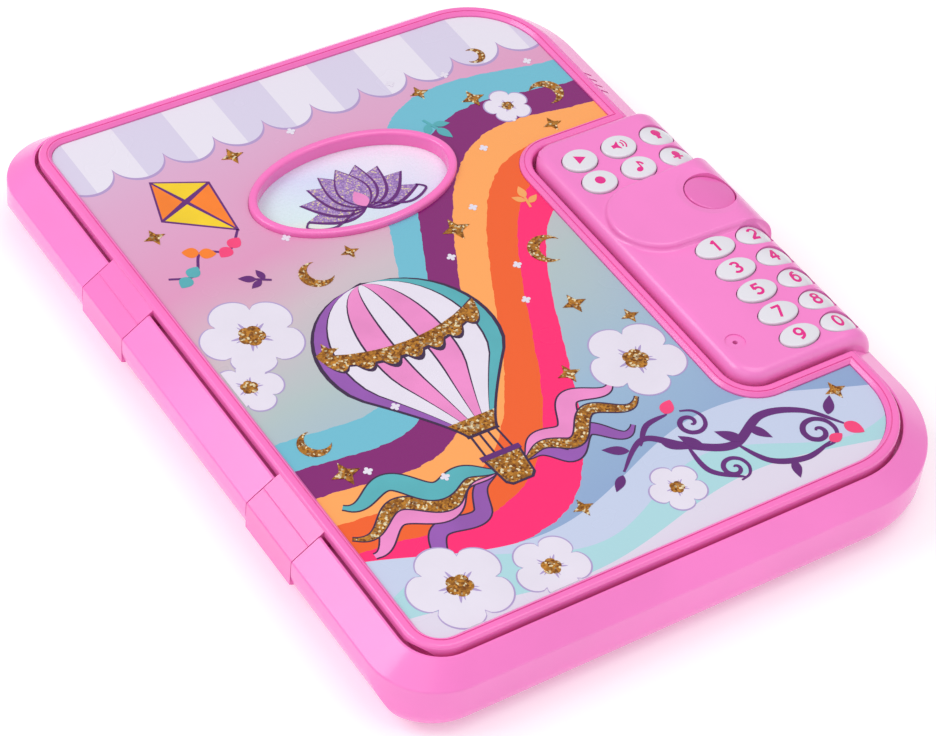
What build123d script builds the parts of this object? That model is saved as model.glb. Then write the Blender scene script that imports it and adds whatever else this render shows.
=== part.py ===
from build123d import *
import os
from math import cos, hypot, radians, sin, sqrt

# An electronic secret diary: a book-shaped case with a lid hinged along the spine, a raised
# keypad console in a notch of the lid, and a bolt in the console that locks the lid.
# Millimetres. +X runs from the spine to the keypad side, +Y to the top of the page, +Z up,
# and the origin is on the table under the middle of the whole object.

# ---- Driving dimensions: the case -------------------------------------------------------
body_width = 195.2
body_length = 249.8
spine_corner_radius = 20.5
open_corner_radius = 36.5
side_border = 9.0  # outline to lid recess, along the spine and the open side
end_border = 7.3  # outline to lid recess, at the top and bottom of the page
recess_corner_ease = 1.0  # recess corners rounder by this than the outline drawn in
lip_land = 0.7  # flat strip on top of the border, beside the lid
foot_height = 1.0
shell_depth = 16.4
skirt_height = 1.2
border_rise = 5.8
recess_depth = 5.4
case_wall = 2.0
recess_wall = 1.6
bottom_edge_radius = 8.0
spine_edge_radius = 13.7
crease_radius = 0.8
channel_drop = 3.1  # hollow under the border ends this far below the lip
channel_flat = 0.4

# ---- Driving dimensions: the lid ---------------------------------------------------------
lid_gap = 1.2
lid_seat_gap = 0.15
rim_rise = 2.5  # rim's top above the border's lip
rim_width = 4.0
rim_radius = 1.1
rim_groove_inset = 2.4
rim_groove_width = 0.4
rim_groove_depth = 0.35
rim_slope = 0.9
print_drop = 1.4  # printed sheet's face below the rim's top
print_thickness = 0.3
print_clearance = 0.15
lid_plate = 1.8
lid_skirt = 1.8
lid_spine_skirt = 5.6
lid_hollow_corner = 14.0
liner_thickness = 1.6
liner_lift = 0.9  # liner's underside above the skirt's lower edge
liner_clearance = 0.3
notch_corner_radius = 1.2

# ---- Driving dimensions: the window ------------------------------------------------------
window_x = -7.1
window_y = 55.9
window_half_length = 32.4
window_half_height = 18.3
bezel_width = 2.8
bezel_rise = 1.9  # above the printed sheet
bezel_radius = 1.0
window_wall = 1.6
window_depth = 3.0  # picture's face below the printed sheet
picture_thickness = 0.8
picture_margin = 1.2

# ---- Driving dimensions: the hinge -------------------------------------------------------
hinge_from_left = 5.1
hinge_above_seam = 0.4
pin_radius = 1.2
pin_hold_clearance = 0.02
pin_chamfer = 0.3
pin_inset = 0.4  # pin ends inside the outer faces of the lugs
pin_run_clearance = 0.05
tab_width = 24.6
tab_centres = (46.7, -51.7)
tab_side_clearance = 0.3
tab_reach = 10.0  # radius from the pin to the tab's lower end
tab_skin = 2.2
tab_clearance = 0.35
tab_pocket_wall = 1.2
barrel_radius = 3.3
arm_drop = 0.8  # arm's underside below the pin's axis
arm_overlap = 0.2
lug_thickness = 3.2
lug_radius = 2.8
swing_clearance = 0.3
swing_corner_growth = 4.0

# ---- Driving dimensions: the console -----------------------------------------------------
console_width = 49.6
console_from_bottom = 50.6  # its lower side, from the bottom of the page
console_length = 116.3
console_rise = 5.7  # console's top above the border's lip
console_corner_radius = 9.0
console_edge_radius = 3.4
console_roll_radius = 10.7
console_wall = 2.0
console_seam = 0.1
feather_trim = 1.6  # thin ends of the border trimmed back beside the console
boss_from_right = 32.7
boss_up = 70.9  # above the console's lower side, as all names in up are
boss_radius = 14.8
boss_rise = 2.2
boss_bulge = 2.0  # how far the boss stands past the side wall
boss_roll_radius = 12.0
boss_edge_radius = 1.4
least_radius = 0.3
boss_foot_radius = 1.2
boss_flare = 1.5
dish_radius = 11.0
dish_depth = 1.3

# ---- Driving dimensions: the buttons -----------------------------------------------------
function_from_right = (38.4, 23.7, 9.0)
function_rows_up = (103.0, 91.9)
function_half_width = 5.8
function_half_height = 4.9
number_from_right = (23.8, 8.6)
number_top_row_up = 50.9
number_pitch = 10.7
number_half_width = 6.7
number_half_height = 4.3
function_names = (
    "play_button",
    "sound_button",
    "light_button",
    "record_button",
    "music_button",
    "alarm_button",
)
button_clearance = 0.3
button_travel = 1.0
button_proud = 1.2
button_crown_radius = 40.0
button_edge_radius = 0.5
cap_above_stem = 1.2
function_roll_tilt = 14.0
function_roll_crown = 13.0
number_roll_tilt = 17.5
number_roll_crown = 11.5
roll_proud = 0.3
stem_radius = 2.0
flange_width = 0.5
flange_gap = 0.2
open_button_from_right = 11.0
open_button_up = 71.7
open_button_radius = 8.1
open_button_crown_radius = 60.0
open_button_proud = 0.6
open_button_tilt = 9.0
mic_from_right = 42.3
mic_up = 15.1
mic_hole_radius = 0.8
mic_ring_radius = 3.2
mic_ring_depth = 0.4
mic_radius = 3.0
mic_height = 2.2
mic_cup_wall = 1.0
mic_cup_depth = 2.6

# ---- Driving dimensions: inside the case --------------------------------------------------
well_from_spine = 18.2
well_from_console = 3.0
well_from_end = 14.9
well_wall = 1.6
well_corner_radius = 1.6
notebook_margin = 2.0
notebook_lift = 0.1
notebook_thickness = 10.0
notebook_cover_thickness = 0.9
notebook_page_inset = 2.0
notebook_corner_radius = 4.0
mat_thickness = 1.0
dome_height = 1.0
press_gap = 0.1
dome_radius = 2.6
board_thickness = 1.6
standoff_height = 1.1
screw_radius = 1.2
screw_head_radius = 2.4
screw_head_height = 1.6
flat_head_height = 0.9
hole_clearance = 0.2
post_radius = 3.0
post_clearance = 0.3
base_post_radius = 3.9
spine_screw_from_side = 11.6
spine_screw_from_end = 21.9
middle_screw_from_side = 9.1
middle_screw_y = -2.5
open_screw_from_side = 17.6
open_screw_from_end = 40.9
deck_screw_from_side = 46.6
deck_screw_from_console = 8.0
# from the right, and above the console's lower side
housing_screw_places = ((44.8, 111.1), (16.3, 110.3), (39.6, 46.3), (35.6, 8.3))
standoff_places = ((42.6, 94.3), (10.1, 96.3), (42.6, 29.3), (10.1, 16.3), (16.6, 57.3))
lid_screw_from_side = 22.6
lid_screw_from_end = 20.9
lid_screw_from_console = 9.0
corner_screw_from_side = 23.6
corner_screw_from_end = 37.9
base_screw_length = 6.0
base_screw_shank = 7.0
lid_screw_shank = 2.0
slot_length = 3.0
slot_width = 0.6
base_screw_seat = 7.0  # above the floor
base_post_height = 9.0
screw_hold_clearance = 0.02
housing_screw_length = 6.5
bolt_width = 9.0
bolt_thickness = 2.2
bolt_length = 9.5
bolt_lift = 1.1
bolt_clearance = 0.25
guide_wall = 1.2
guide_length = 6.0
guide_gap = 0.5  # from the console's wall to the guide
bolt_setback = 0.2
plunger_radius = 1.3
plunger_length = 11.0
solenoid_length = 13.0
solenoid_width = 11.0
solenoid_height = 6.6
coil_corner = 2.0
coil_margin = 0.5  # coil inside the solenoid's frame
frame_wall = 2.0  # ends of the solenoid's frame
catch_pocket = 3.0
strike_thickness = 1.2
strike_margin = 3.0
strike_drop = 3.9  # catch reaches this far below the lid's plate
bolt_tip_chamfer = 0.8
board_edge = 0.6
solenoid_bore_clearance = 0.05
solenoid_gap = 0.8  # between the drawn bolt and the solenoid
cell_radius = 5.15
cell_length = 44.0
cell_gap = 0.6
cell_nub_radius = 1.9
cell_nub_length = 0.9
cell_from_right = 27.6
cell_up = 32.3
spring_length = 3.4
spring_radius = 2.8
spring_wire = 0.3
spring_pitch = 1.1
contact_thickness = 0.5
contact_width = 8.0
box_wall = 1.6
cell_lift = 0.1
ledge_thickness = 1.2
door_thickness = 1.8
door_clearance = 0.25
door_ledge = 1.6
door_grip_pitch = 3.0
door_grip_width = 1.0
door_grip_depth = 0.4
tongue_width = 9.0
tongue_length = 7.6
door_screw_length = 6.0
seat_clearance = 0.05
speaker_from_right = 26.6
speaker_up = 140.3
speaker_radius = 14.0
speaker_depth = 4.5
speaker_rim = 1.2
speaker_magnet = 6.5
speaker_lift = 5.0
speaker_ledge = 1.6
speaker_clearance = 0.2
vent_count = 4
vent_pitch = 3.2
vent_width = 0.9
vent_length = 3.0
vent_up = 143.9
vent_from_right = 8.3
cable_from_right = 26.6
cable_up = 82.3
cable_width = 12.0
cable_thickness = 0.6
cable_clearance = 0.5
foot_radius = 5.0
foot_recess = 0.6
foot_clearance = 0.1
foot_chamfer = 0.4
spine_foot_from_side = 21.6
spine_foot_from_end = 19.9
open_foot_from_side = 26.6
open_foot_from_end = 21.9
main_board_from_right = 24.6
main_board_up = 88.3
main_board_width = 34.0
main_board_length = 42.0
main_board_lift = 3.0  # above the floor
board_post_inset = 3.0
chip_offset = 9.0
chip_width = 8.0
chip_height = 1.2
capacitor_pitch = 8.0
capacitor_radius = 2.0
capacitor_height = 5.0

# ---- Levels and edges worked out from them -------------------------------------------------
left = -(body_width + boss_bulge) / 2
right = left + body_width
half_length = body_length / 2
console_left = right - console_width
console_bottom = console_from_bottom - half_length
console_top_edge = console_bottom + console_length
boss_x = right - boss_from_right
boss_y = console_bottom + boss_up
open_button_x = right - open_button_from_right
open_button_y = console_bottom + open_button_up
mic_x = right - mic_from_right
mic_y = console_bottom + mic_up
function_columns = [right - distance for distance in function_from_right]
number_columns = [right - distance for distance in number_from_right]
function_rows = [console_bottom + up for up in function_rows_up]
number_top_row = console_bottom + number_top_row_up
well_left = left + well_from_spine
well_right = console_left - well_from_console
well_half_length = half_length - well_from_end
cell_centre_x = right - cell_from_right
cell_centre_y = console_bottom + cell_up
speaker_x = right - speaker_from_right
speaker_y = console_bottom + speaker_up
cable_x = right - cable_from_right
cable_y = console_bottom + cable_up
main_board_x = right - main_board_from_right
main_board_y = console_bottom + main_board_up
body_bottom = foot_height
floor_z = body_bottom + case_wall
seam_z = body_bottom + shell_depth
crease_z = seam_z + skirt_height
lip_z = crease_z + border_rise
deck_z = lip_z - recess_depth
rim_z = lip_z + rim_rise
print_z = rim_z - print_drop
sheet_seat_z = print_z - print_thickness
lid_bottom_z = deck_z + lid_seat_gap
liner_z = lid_bottom_z + liner_lift
plate_bottom_z = sheet_seat_z - lid_plate
picture_z = print_z - window_depth
console_z = lip_z + console_rise
boss_z = console_z + boss_rise
hinge_x = left + hinge_from_left
hinge_z = seam_z + hinge_above_seam
recess_left = left + side_border
recess_right = right - side_border
recess_half_length = half_length - end_border
lip_left = recess_left - lip_land
board_z = deck_z + standoff_height
board_top_z = board_z + board_thickness
mat_top_z = board_top_z + mat_thickness
dome_top_z = mat_top_z + dome_height
stem_bottom_z = dome_top_z + press_gap + button_travel
cap_bottom_z = stem_bottom_z + cap_above_stem
dish_sphere = (dish_radius**2 + dish_depth**2) / (2 * dish_depth)
swing_radius = hypot(lip_left + lip_land - hinge_x, lip_z - hinge_z) + swing_clearance
hinge_cut_radius = tab_reach + tab_clearance
hinge_cut_width = tab_width + 2 * tab_side_clearance
lug_offset = (hinge_cut_width + lug_thickness) / 2
bolt_x = console_left + bolt_setback + bolt_length / 2
bolt_z = deck_z + bolt_lift
guide_width = bolt_width + 2 * (bolt_clearance + guide_wall)
guide_x = console_left + console_wall + guide_gap + guide_length / 2
touch = 0.01  # edges and corners this near a level or line count as on it
UPRIGHT = (Align.CENTER, Align.CENTER, Align.MIN)


def pair(x, from_end):
    """Two spots at x, as far from the top of the page as from the bottom."""
    return [(x, half_length - from_end), (x, from_end - half_length)]


base_screw_spots = [
    *pair(left + spine_screw_from_side, spine_screw_from_end),
    *pair(right - open_screw_from_side, open_screw_from_end),
    (left + middle_screw_from_side, middle_screw_y),
    (right - deck_screw_from_side, console_top_edge + deck_screw_from_console),
]
housing_screw_spots = [(right - across, console_bottom + up) for across, up in housing_screw_places]
lid_screw_spots = [
    *pair(left + lid_screw_from_side, lid_screw_from_end),
    *pair(console_left - lid_screw_from_console, lid_screw_from_end),
    *pair(right - corner_screw_from_side, corner_screw_from_end),
    (left + lid_screw_from_side, 0),
]
board_standoffs = [(right - across, console_bottom + up) for across, up in standoff_places]
foot_spots = [
    *pair(left + spine_foot_from_side, spine_foot_from_end),
    *pair(right - open_foot_from_side, open_foot_from_end),
]
vent_spots = [
    (right - vent_from_right, console_bottom + vent_up - i * vent_pitch) for i in range(vent_count)
]
tab_spots = [Location((hinge_x, y, hinge_z), (90, 0, 0)) for y in tab_centres]
lug_spots = [
    Location((hinge_x, y + side * lug_offset, hinge_z), (90, 0, 0))
    for y in tab_centres
    for side in (1, -1)
]


def book_outline(x0, x1, half_height, spine_radius, open_radius):
    """The book seen from above, with tighter corners along the spine."""
    with BuildSketch() as outline:
        with Locations(((x0 + x1) / 2, 0)):
            Rectangle(x1 - x0, 2 * half_height)
        fillet(outline.vertices().group_by(Axis.X)[0], spine_radius)
        fillet(outline.vertices().group_by(Axis.X)[-1], open_radius)
    return outline.sketch


base_outline = book_outline(left, right, half_length, spine_corner_radius, open_corner_radius)
recess_outline = book_outline(
    recess_left,
    recess_right,
    recess_half_length,
    spine_corner_radius - side_border + recess_corner_ease,
    open_corner_radius - side_border + recess_corner_ease,
)


def lid_shape(inset):
    """The lid seen from above, with its keypad notch, drawn in by inset all round."""
    x_edge = console_left - lid_gap - inset
    y_low = console_bottom - lid_gap - inset
    y_high = console_top_edge + lid_gap + inset
    tip_x = recess_right - lid_gap - inset
    with BuildSketch() as shape:
        add(recess_outline)
        offset(amount=-lid_gap - inset)
        with Locations(((x_edge + right) / 2, (y_low + y_high) / 2)):
            Rectangle(right - x_edge, y_high - y_low, mode=Mode.SUBTRACT)
        corners = shape.vertices().filter_by_position(Axis.X, x_edge - touch, x_edge + touch)
        fillet(corners, console_corner_radius + lid_gap + inset)
        if inset < notch_corner_radius:
            tips = shape.vertices().filter_by_position(Axis.X, tip_x - touch, tip_x + touch)
            tips = tips.filter_by_position(Axis.Y, y_low - touch, y_high + touch)
            fillet(tips, notch_corner_radius - inset)
    return shape.sketch


def spine_section(inset):
    """Section across the spine: rounded foot, upright side, crease and sloping border."""
    with BuildSketch() as section:
        with BuildLine():
            Polyline(
                (left + inset, body_bottom + inset),
                (left + inset, crease_z),
                (lip_left, lip_z),
                (right + body_width, lip_z),
                (right + body_width, body_bottom + inset),
                close=True,
            )
        make_face()
        spine_side = section.vertices().sort_by(Axis.X)[:2].sort_by(Axis.Y)
        fillet(spine_side[0], spine_edge_radius - inset)
        crease = section.vertices().filter_by_position(Axis.Y, crease_z - touch, crease_z + touch)
        fillet(crease, crease_radius)
    return section.sketch


def tray(inset):
    """The bottom shell's outside, or its inside when inset is the wall."""
    foot_section = spine_section(inset)
    with BuildPart() as body:
        with BuildSketch(Plane.XY.offset(body_bottom + inset)):
            add(base_outline)
            if inset:
                offset(amount=-inset)
        extrude(amount=seam_z - body_bottom - inset)
        fillet(body.faces().sort_by(Axis.Z)[0].edges(), bottom_edge_radius - inset)
        with BuildSketch(Plane.XZ.offset(-half_length)):
            add(foot_section)
        extrude(amount=body_length, mode=Mode.INTERSECT)
    return body.part


def skin_height(x):
    """Height of the console's skin at x."""
    run = max(0.0, x - (right - console_roll_radius))
    return console_z - console_roll_radius + sqrt(console_roll_radius**2 - run**2)


def rolled_section(x0, x1, z0, z1, roll, tuck=0):
    """Section with a flat top that rolls over into the side, which tucks in at its foot."""
    with BuildSketch() as section:
        with BuildLine():
            Line((x0, z0), (x1 - tuck, z0))
            Line((x1 - tuck, z0), (x1, z1 - roll))
            CenterArc((x1 - roll, z1 - roll), roll, 0, 90)
            Line((x1 - roll, z1), (x0, z1))
            Line((x0, z1), (x0, z0))
        make_face()
    return section.sketch


def console_body(grow, base_z):
    """The console's outside, grown all round by grow, standing on base_z."""
    section = rolled_section(
        console_left - grow, right + grow, base_z, console_z + grow, console_roll_radius + grow
    )
    with BuildPart() as body:
        with BuildSketch(Plane.XZ.offset(-console_top_edge - grow)):
            add(section)
        extrude(amount=console_top_edge - console_bottom + 2 * grow)
        upright = body.edges().filter_by(Axis.Z).group_by(Axis.X)[0]
        fillet(upright, console_corner_radius + grow)
        top_edge = body.edges().group_by(Axis.Z)[-1].sort_by(Axis.X)[0]
        fillet(top_edge, console_edge_radius + grow)
    return body.part


def boss_body(grow, base_z):
    """The raised boss round the open button, grown all round by grow."""
    side = right + boss_bulge + grow
    section = rolled_section(
        boss_x - 2 * boss_radius, side, base_z, boss_z + grow, boss_roll_radius + grow, boss_bulge
    )
    with BuildPart() as body:
        with BuildSketch(Plane.XY.offset(base_z)):
            with BuildLine():
                half = boss_radius + grow
                CenterArc((boss_x, boss_y), half, 90, 180)
                Line((boss_x, boss_y - half), (side + 1, boss_y - half - boss_flare))
                Line((side + 1, boss_y - half - boss_flare), (side + 1, boss_y + half + boss_flare))
                Line((side + 1, boss_y + half + boss_flare), (boss_x, boss_y + half))
            make_face()
        extrude(amount=boss_z + grow - base_z)
        rim = body.edges().group_by(Axis.Z)[-1].sort_by(Axis.X)[0]
        fillet(rim, max(boss_edge_radius + grow, least_radius))
        with BuildSketch(Plane.XZ.offset(-boss_y - 2 * boss_radius)):
            add(section)
        extrude(amount=4 * boss_radius, mode=Mode.INTERSECT)
    return body.part


outer_tray = tray(0)
inner_tray = tray(case_wall)
lid_edge = lid_shape(0)
sheet_pocket = lid_shape(rim_width)
sheet_outline = lid_shape(rim_width + print_clearance)
groove_outer = lid_shape(rim_groove_inset)
groove_inner = lid_shape(rim_groove_inset + rim_groove_width)
console_outside = console_body(0, seam_z)
console_inside = console_body(-console_wall, seam_z - 1)
console_pocket = console_body(console_seam, deck_z)
console_side_pocket = console_body(console_seam, seam_z - 1)
boss_outside = boss_body(0, seam_z)

side_block = Pos(right - console_wall - console_seam, 0, lip_z) * Box(
    body_width, body_length, body_width, align=(Align.MIN, Align.CENTER, Align.CENTER)
)

# ---- Bottom shell: a deep tray with the notebook well, battery box, posts and tab pockets ------
box_width = 6 * cell_radius + 4 * cell_gap
box_length = cell_length + cell_nub_length + spring_length + 2 * (contact_thickness + seat_clearance)
box_low = cell_centre_y - box_length / 2
box_high = cell_centre_y + box_length / 2
door_top_z = body_bottom + door_thickness
ledge_z = door_top_z + seat_clearance
cell_z = ledge_z + cell_lift + cell_radius
box_roof_z = cell_z + cell_radius + cell_gap
tongue_y = box_high + tongue_length / 2
post_seat_z = floor_z + base_screw_seat
post_top_z = floor_z + base_post_height
speaker_z = floor_z + speaker_lift

with BuildPart() as bottom_shell:
    add(outer_tray)
    add(inner_tray, mode=Mode.SUBTRACT)
    with BuildSketch(Plane.XY.offset(floor_z)):
        with Locations(((well_left + well_right) / 2, 0)):
            RectangleRounded(
                well_right - well_left + 2 * well_wall,
                2 * (well_half_length + well_wall),
                well_corner_radius + well_wall,
            )
            RectangleRounded(
                well_right - well_left, 2 * well_half_length, well_corner_radius, mode=Mode.SUBTRACT
            )
    extrude(amount=seam_z - floor_z)
    with Locations([(x, y, floor_z) for x, y in base_screw_spots]):
        Cylinder(base_post_radius, base_post_height, align=UPRIGHT)
    # battery box with its roof, and the pad behind the door's tongue
    with BuildSketch(Plane.XY.offset(floor_z)):
        with Locations((cell_centre_x, cell_centre_y)):
            Rectangle(box_width + 2 * box_wall, box_length + 2 * box_wall)
    extrude(amount=box_roof_z + box_wall - floor_z)
    with BuildSketch(Plane.XY.offset(body_bottom)):
        with Locations((cell_centre_x, cell_centre_y)):
            Rectangle(box_width, box_length)
    extrude(amount=box_roof_z - body_bottom, mode=Mode.SUBTRACT)
    with BuildSketch(Plane.XY.offset(ledge_z)):
        for y_edge in (box_low + door_ledge / 2, box_high - door_ledge / 2):
            with Locations((cell_centre_x, y_edge)):
                Rectangle(box_width, door_ledge)
    extrude(amount=ledge_thickness)
    with Locations((cell_centre_x, tongue_y, ledge_z)):
        Box(tongue_width + 2 * box_wall, tongue_length + 2 * box_wall, ledge_thickness, align=UPRIGHT)
        Cylinder(post_radius, door_screw_length + 1, align=UPRIGHT)
    with Locations((cell_centre_x, tongue_y, body_bottom)):
        Box(tongue_width, tongue_length, ledge_z - body_bottom, align=UPRIGHT, mode=Mode.SUBTRACT)
        Cylinder(
            screw_radius + screw_hold_clearance,
            door_thickness + door_screw_length,
            align=UPRIGHT,
            mode=Mode.SUBTRACT,
        )
    # ring that holds the speaker, and posts for the main board
    with BuildSketch(Plane.XY.offset(floor_z)):
        with Locations((speaker_x, speaker_y)):
            Circle(speaker_radius + speaker_clearance + well_wall)
            Circle(speaker_radius - speaker_ledge, mode=Mode.SUBTRACT)
    extrude(amount=speaker_lift + speaker_depth)
    with Locations((speaker_x, speaker_y, speaker_z)):
        Cylinder(
            speaker_radius + speaker_clearance, 2 * speaker_depth, align=UPRIGHT, mode=Mode.SUBTRACT
        )
    with Locations((main_board_x, main_board_y, floor_z)):
        with GridLocations(
            main_board_width - 2 * board_post_inset, main_board_length - 2 * board_post_inset, 2, 2
        ):
            Cylinder(post_radius, main_board_lift, align=UPRIGHT)
    # closed pockets that the two hinge tabs swing down into
    with Locations(tab_spots):
        Cylinder(hinge_cut_radius + tab_pocket_wall, hinge_cut_width + 2 * tab_pocket_wall)
    add(outer_tray, mode=Mode.INTERSECT)
    with Locations(tab_spots):
        Cylinder(hinge_cut_radius, hinge_cut_width, mode=Mode.SUBTRACT)
    with Locations(lug_spots):
        Cylinder(lug_radius + seat_clearance, lug_thickness + 2 * seat_clearance, mode=Mode.SUBTRACT)
    with Locations([(x, y, 0) for x, y in base_screw_spots]):
        Cylinder(screw_head_radius + hole_clearance, post_seat_z, align=UPRIGHT, mode=Mode.SUBTRACT)
        Cylinder(screw_radius + hole_clearance, post_top_z, align=UPRIGHT, mode=Mode.SUBTRACT)
    with Locations([(x, y, 0) for x, y in foot_spots]):
        Cylinder(
            foot_radius + foot_clearance, body_bottom + foot_recess, align=UPRIGHT, mode=Mode.SUBTRACT
        )
bottom_shell.part.label = "bottom_shell"
export_step(bottom_shell.part, "parts/bottom_shell.step")

# ---- Top frame: skirt, sloping border, recess and deck, with the hinge lugs --------------------
with BuildPart() as border_channel:
    with BuildSketch(Plane.XY.offset(seam_z)):
        add(base_outline)
        offset(amount=-case_wall)
    with BuildSketch(Plane.XY.offset(lip_z - channel_drop)):
        add(recess_outline)
        offset(amount=recess_wall + channel_flat)
    loft()
    with BuildSketch(Plane.XY.offset(seam_z)):
        add(recess_outline)
        offset(amount=recess_wall)
    extrude(amount=lip_z - seam_z, mode=Mode.SUBTRACT)
    with Locations(lug_spots):
        Box(4 * hinge_from_left, 4 * lug_radius, lug_thickness, mode=Mode.SUBTRACT)

with BuildPart() as top_frame:
    with BuildSketch(Plane.XY.offset(seam_z)):
        add(base_outline)
    extrude(amount=skirt_height)
    with BuildSketch(Plane.XY.offset(crease_z)):
        add(base_outline)
    with BuildSketch(Plane.XY.offset(lip_z)):
        add(recess_outline)
        offset(amount=lip_land)
    loft()
    crease = top_frame.edges().filter_by_position(Axis.Z, crease_z - touch, crease_z + touch)
    fillet(crease, crease_radius)
    with BuildSketch(Plane.XY.offset(deck_z)):
        add(recess_outline)
    extrude(amount=recess_depth, mode=Mode.SUBTRACT)
    add(border_channel.part, mode=Mode.SUBTRACT)
    # deck openings: the notebook well, the keypad cable and the vent slots
    with BuildSketch(Plane.XY.offset(seam_z)):
        with Locations(((well_left + well_right) / 2, 0)):
            RectangleRounded(well_right - well_left, 2 * well_half_length, well_corner_radius)
        with Locations((cable_x, cable_y)):
            Rectangle(cable_width + 2 * cable_clearance, cable_thickness + 2 * cable_clearance)
    extrude(amount=deck_z - seam_z, mode=Mode.SUBTRACT)
    with Locations([(x, y, seam_z) for x, y in vent_spots]):
        Box(vent_length, vent_width, lip_z, align=(Align.MIN, Align.CENTER, Align.MIN), mode=Mode.SUBTRACT)
    # seat of the keypad housing, which takes the place of the border beside it
    add(console_pocket, mode=Mode.SUBTRACT)
    add(console_side_pocket & side_block, mode=Mode.SUBTRACT)
    with Locations((right, (console_bottom + console_top_edge) / 2, seam_z)):
        Box(
            2 * (console_wall + console_seam),
            console_top_edge - console_bottom - 2 * feather_trim,
            lip_z,
            align=UPRIGHT,
            mode=Mode.SUBTRACT,
        )
    # bosses that the base screws hold, standoffs for the keypad board and the bolt's guide
    with Locations([(x, y, post_top_z) for x, y in base_screw_spots]):
        Cylinder(post_radius, deck_z - post_top_z, align=UPRIGHT)
    with Locations([(x, y, deck_z) for x, y in board_standoffs]):
        Cylinder(stem_radius, standoff_height, align=UPRIGHT)
    with Locations((guide_x, boss_y, deck_z)):
        Box(guide_length, guide_width, bolt_thickness + bolt_lift, align=UPRIGHT)
        with Locations((0, 0, bolt_lift - bolt_clearance)):
            Box(
                guide_length,
                bolt_width + 2 * bolt_clearance,
                recess_depth,
                align=UPRIGHT,
                mode=Mode.SUBTRACT,
            )
    # hinge lugs, and the slots that the two tabs work in
    with Locations(lug_spots):
        Cylinder(lug_radius, lug_thickness)
    with Locations(tab_spots):
        Cylinder(hinge_cut_radius, hinge_cut_width, mode=Mode.SUBTRACT)
        Cylinder(
            pin_radius + pin_hold_clearance, hinge_cut_width + 2 * lug_thickness, mode=Mode.SUBTRACT
        )
    with Locations([(x, y, post_top_z) for x, y in base_screw_spots]):
        Cylinder(
            screw_radius + screw_hold_clearance, base_screw_length, align=UPRIGHT, mode=Mode.SUBTRACT
        )
    with Locations([(x, y, seam_z) for x, y in housing_screw_spots]):
        Cylinder(screw_radius + hole_clearance, deck_z - seam_z, align=UPRIGHT, mode=Mode.SUBTRACT)
top_frame.part.label = "top_frame"
export_step(top_frame.part, "parts/top_frame.step")

# ---- Keypad housing: the raised console with its boss, dish, button holes and posts -------------
function_spots = [(x, y) for y in function_rows for x in function_columns]
number_spots = [(x, number_top_row - row * number_pitch) for row in range(5) for x in number_columns]
open_face_z = boss_z - dish_depth


def on_boss_foot(edge):
    """Whether an edge of the console's flat top is one where the boss stands on it."""
    middle = edge.center()
    reach = hypot(min(middle.X - boss_x, 0), middle.Y - boss_y)
    return abs(middle.Z - console_z) < touch and abs(reach - boss_radius) < boss_flare


with BuildPart() as keypad_housing:
    add(console_outside)
    add(boss_outside)
    fillet(keypad_housing.edges().filter_by(on_boss_foot), boss_foot_radius)
    add(console_inside, mode=Mode.SUBTRACT)
    add(boss_body(-console_wall, seam_z - 1), mode=Mode.SUBTRACT)
    # the part over the deck stands on the deck, and only the side wall reaches the seam
    with Locations((right - console_wall, console_bottom - 1, deck_z)):
        Box(
            body_width,
            body_length,
            body_width,
            align=(Align.MAX, Align.MIN, Align.MAX),
            mode=Mode.SUBTRACT,
        )
    # dish round the open button
    with Locations((open_button_x, open_button_y, open_face_z + dish_sphere)):
        Sphere(dish_sphere, mode=Mode.SUBTRACT)
    # button holes
    with BuildSketch(Plane.XY.offset(stem_bottom_z)):
        with Locations(function_spots):
            Ellipse(function_half_width + button_clearance, function_half_height + button_clearance)
        with Locations(number_spots):
            Ellipse(number_half_width + button_clearance, number_half_height + button_clearance)
        with Locations((open_button_x, open_button_y)):
            Circle(open_button_radius + button_clearance)
    extrude(amount=boss_z, mode=Mode.SUBTRACT)
    # microphone hole in its sunk ring, and the cup that holds the microphone
    with Locations((mic_x, mic_y, console_z - mic_ring_depth)):
        Cylinder(mic_ring_radius, console_wall, align=UPRIGHT, mode=Mode.SUBTRACT)
    with Locations((mic_x, mic_y, console_z - console_wall - mic_cup_depth)):
        Cylinder(mic_radius + seat_clearance + mic_cup_wall, mic_cup_depth + 0.1, align=UPRIGHT)
        Cylinder(mic_radius + seat_clearance, mic_cup_depth, align=UPRIGHT, mode=Mode.SUBTRACT)
        Cylinder(mic_hole_radius, console_rise + mic_cup_depth, align=UPRIGHT, mode=Mode.SUBTRACT)
    # posts down to the deck, and the window that the bolt passes
    with Locations([(x, y, deck_z) for x, y in housing_screw_spots]):
        Cylinder(post_radius, console_z - 0.5 * console_wall - deck_z, align=UPRIGHT)
        Cylinder(
            screw_radius + screw_hold_clearance, housing_screw_length, align=UPRIGHT, mode=Mode.SUBTRACT
        )
    with Locations((console_left - 1, boss_y, bolt_z - bolt_clearance)):
        Box(
            console_wall + 2,
            bolt_width + 2 * bolt_clearance,
            bolt_thickness + 2 * bolt_clearance,
            align=(Align.MIN, Align.CENTER, Align.MIN),
            mode=Mode.SUBTRACT,
        )
keypad_housing.part.label = "keypad_housing"
export_step(keypad_housing.part, "parts/keypad_housing.step")

# ---- Buttons: a domed cap with a flange and a stem for each key ---------------------------------
cap_room = console_body(-console_wall - flange_gap, seam_z)
open_cap_room = boss_body(-console_wall - flange_gap, seam_z)


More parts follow.
